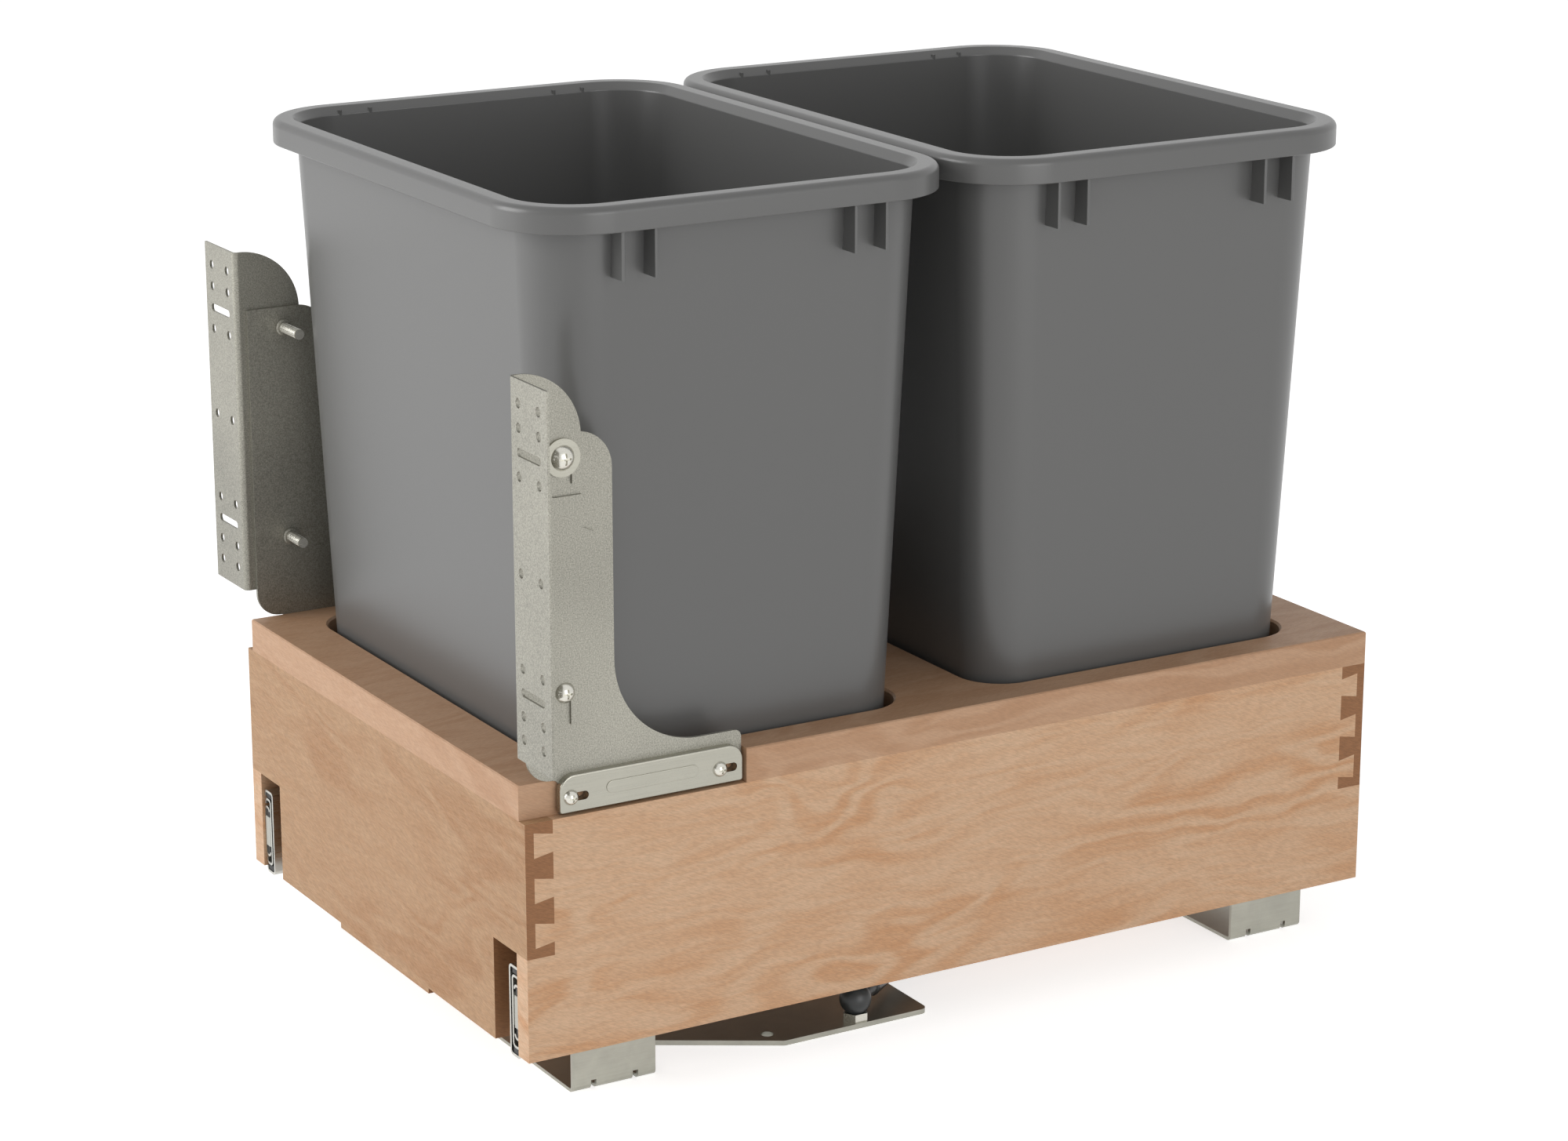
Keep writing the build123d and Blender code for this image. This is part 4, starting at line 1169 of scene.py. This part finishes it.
@dataclass
class FittedSolids:
    """Solids whose shape is right as it is, with the finish of each."""

    finishes: dict[str, Finish] = field(default_factory=dict)

    def dress(self, nodes: dict[str, bpy.types.Object]) -> None:
        """Give each solid its finish.

        Args:
            nodes: The frame's solids by name.
        """
        for name, finish in self.finishes.items():
            finish.dress(nodes[name])
        LOG.info("fitted solids: %d", len(self.finishes))


def solid_finishes() -> dict[str, Finish]:
    """List the finish of each solid that shows as it is, wood apart.

    Returns:
        The finishes by the solids' names.
    """
    finishes: dict[str, Finish] = {
        "bin_front": BIN_GREY, "bin_rear": BIN_GREY, "base_plate": ZINC, "ball_stud": BRIGHT_NICKEL,
        "hanger_stud": BRIGHT_NICKEL, "strut_socket": STRUT_PLASTIC, "strut_rod_end": STRUT_PLASTIC,
        "strut_cylinder": STRUT_PAINT, "strut_rod": ROD_CHROME, "slide_end_blocks": END_PLASTIC,
        "rear_bumpers": RUBBER, "drawer_member_screws": BRIGHT_NICKEL, "foot_rivets": ZINC,
        "clamp_screws": BRIGHT_NICKEL,
    }
    pairs: dict[str, Finish] = {
        "cabinet_member": SLIDE_STEEL, "middle_member": SLIDE_STEEL, "drawer_member": SLIDE_STEEL,
        "outer_ball_cage": BLACK_PLASTIC, "inner_ball_cage": BLACK_PLASTIC, "outer_balls": BALL_STEEL,
        "inner_balls": BALL_STEEL, "foot_front": ZINC, "foot_rear": ZINC, "door_arm": BRACKET_STEEL,
        "door_bracket": BRACKET_STEEL, "clamp_plate": SATIN_NICKEL, "upper_bolt": BRIGHT_NICKEL,
        "upper_washer": SATIN_NICKEL, "lower_bolt": BRIGHT_NICKEL,
    }
    for name, finish in pairs.items():
        for side in SIDES:
            finishes[f"{name}_{side}"] = finish
    return finishes


@dataclass
class Studio:
    """Camera, lamps, pale floor and white surroundings."""

    camera_place: tuple[float, float, float] = (1.9639, -1.1708, 0.8866)
    camera_tilt: float = 73.83
    camera_turn: float = 59.46
    camera_film: float = 36.0
    camera_lens: float = 92.04
    surround_light: float = 0.45
    floor_size: float = 14.0
    floor_glow: float = 0.68
    floor_light: float = 0.27
    floor_grey: Color = (0.8, 0.8, 0.8)
    aim_place: tuple[float, float, float] = (0.0, 0.0, 0.25)
    lamps: tuple[tuple[str, tuple[float, float, float], float, float], ...] = (
        ("key lamp", (-1.3, -3.3, 1.5), 2.4, 82.0),
        ("side lamp", (3.7, 0.3, 0.9), 2.4, 44.0),
        ("top lamp", (0.2, 0.4, 3.4), 2.6, 1.4),
    )

    def build(self) -> None:
        """Set up everything round the object."""
        self.add_camera()
        self.add_surroundings()
        self.add_floor()
        for name, place, size, power in self.lamps:
            self.add_lamp(name, place, size, power)
        view = bpy.context.scene.view_settings
        view.view_transform = "Standard"
        LOG.info("studio: %d lamps", len(self.lamps))

    def add_camera(self) -> None:
        """Place the camera at the photograph's viewing angle."""
        data = bpy.data.cameras.new("camera")
        data.sensor_width = self.camera_film
        data.lens = self.camera_lens
        camera = add_object("camera", data)
        camera.location = self.camera_place
        camera.rotation_euler = (math.radians(self.camera_tilt), 0.0, math.radians(self.camera_turn))
        bpy.context.scene.camera = camera

    @staticmethod
    def seen_directly(graph: Graph) -> Socket:
        """Tell which rays see a surface directly.

        Args:
            graph: The material's or world's graph.

        Returns:
            A socket that is 1 for camera, glossy and transmission rays, else 0.
        """
        path = graph.node("ShaderNodeLightPath")
        seen = graph.math("MAXIMUM", path.outputs["Is Camera Ray"], path.outputs["Is Glossy Ray"])
        return graph.math("MAXIMUM", seen, path.outputs["Is Transmission Ray"])

    def add_surroundings(self) -> None:
        """Make the world white where it is seen, and a plain soft light otherwise."""
        world = bpy.data.worlds.new("surroundings")
        world.use_nodes = True
        world.node_tree.nodes.clear()
        graph = Graph(world.node_tree)
        strength = graph.pick(self.seen_directly(graph), self.surround_light, 1.0)
        light = graph.node("ShaderNodeBackground", {"Color": WHITE, "Strength": strength})
        graph.node("ShaderNodeOutputWorld", {"Surface": light.outputs[0]})
        bpy.context.scene.world = world

    def add_floor(self) -> None:
        """Lay a pale floor that shows white and keeps the object's shadow."""
        half = self.floor_size / 2
        mesh = bpy.data.meshes.new("floor")
        mesh.from_pydata([(-half, -half, 0), (half, -half, 0), (half, half, 0), (-half, half, 0)], [],
                         [(0, 1, 2, 3)])
        floor = add_object("floor", mesh)
        made = bpy.data.materials.new("pale floor")
        made.use_nodes = True
        made.node_tree.nodes.clear()
        graph = Graph(made.node_tree)
        matt = graph.node("ShaderNodeBsdfDiffuse", {"Color": self.floor_grey})
        glow = graph.node("ShaderNodeEmission", {"Color": WHITE, "Strength": graph.pick(
            self.seen_directly(graph), self.floor_light, self.floor_glow)})
        both = graph.node("ShaderNodeAddShader", {0: matt.outputs[0], 1: glow.outputs[0]})
        graph.node("ShaderNodeOutputMaterial", {"Surface": both.outputs[0]})
        mesh.materials.append(made)

    def add_lamp(self, name: str, place: tuple[float, float, float], size: float, power: float) -> None:
        """Add a large soft lamp that looks at the object.

        Args:
            name: The lamp's name.
            place: Where it stands, in metres.
            size: Length of its edges, in metres.
            power: Its power in watts.
        """
        data = bpy.data.lights.new(name, "AREA")
        data.shape = "SQUARE"
        data.size = size
        data.energy = power
        lamp = add_object(name, data)
        lamp.location = place
        aim = Vector(self.aim_place) - Vector(place)
        lamp.rotation_euler = aim.to_track_quat("-Z", "Y").to_euler()


def main() -> None:
    """Load the frame, dress it and set up the studio."""
    logging.basicConfig(level=logging.INFO, format="%(name)s %(message)s")
    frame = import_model()
    nodes = frame["nodes"]
    WoodBox().dress(nodes)
    FittedSolids(solid_finishes()).dress(nodes)
    WasteBin().build()
    BoltThreads().build()
    BallRows().build()
    FrontGuides().build()
    Studio().build()


if __name__ == "__main__":
    main()
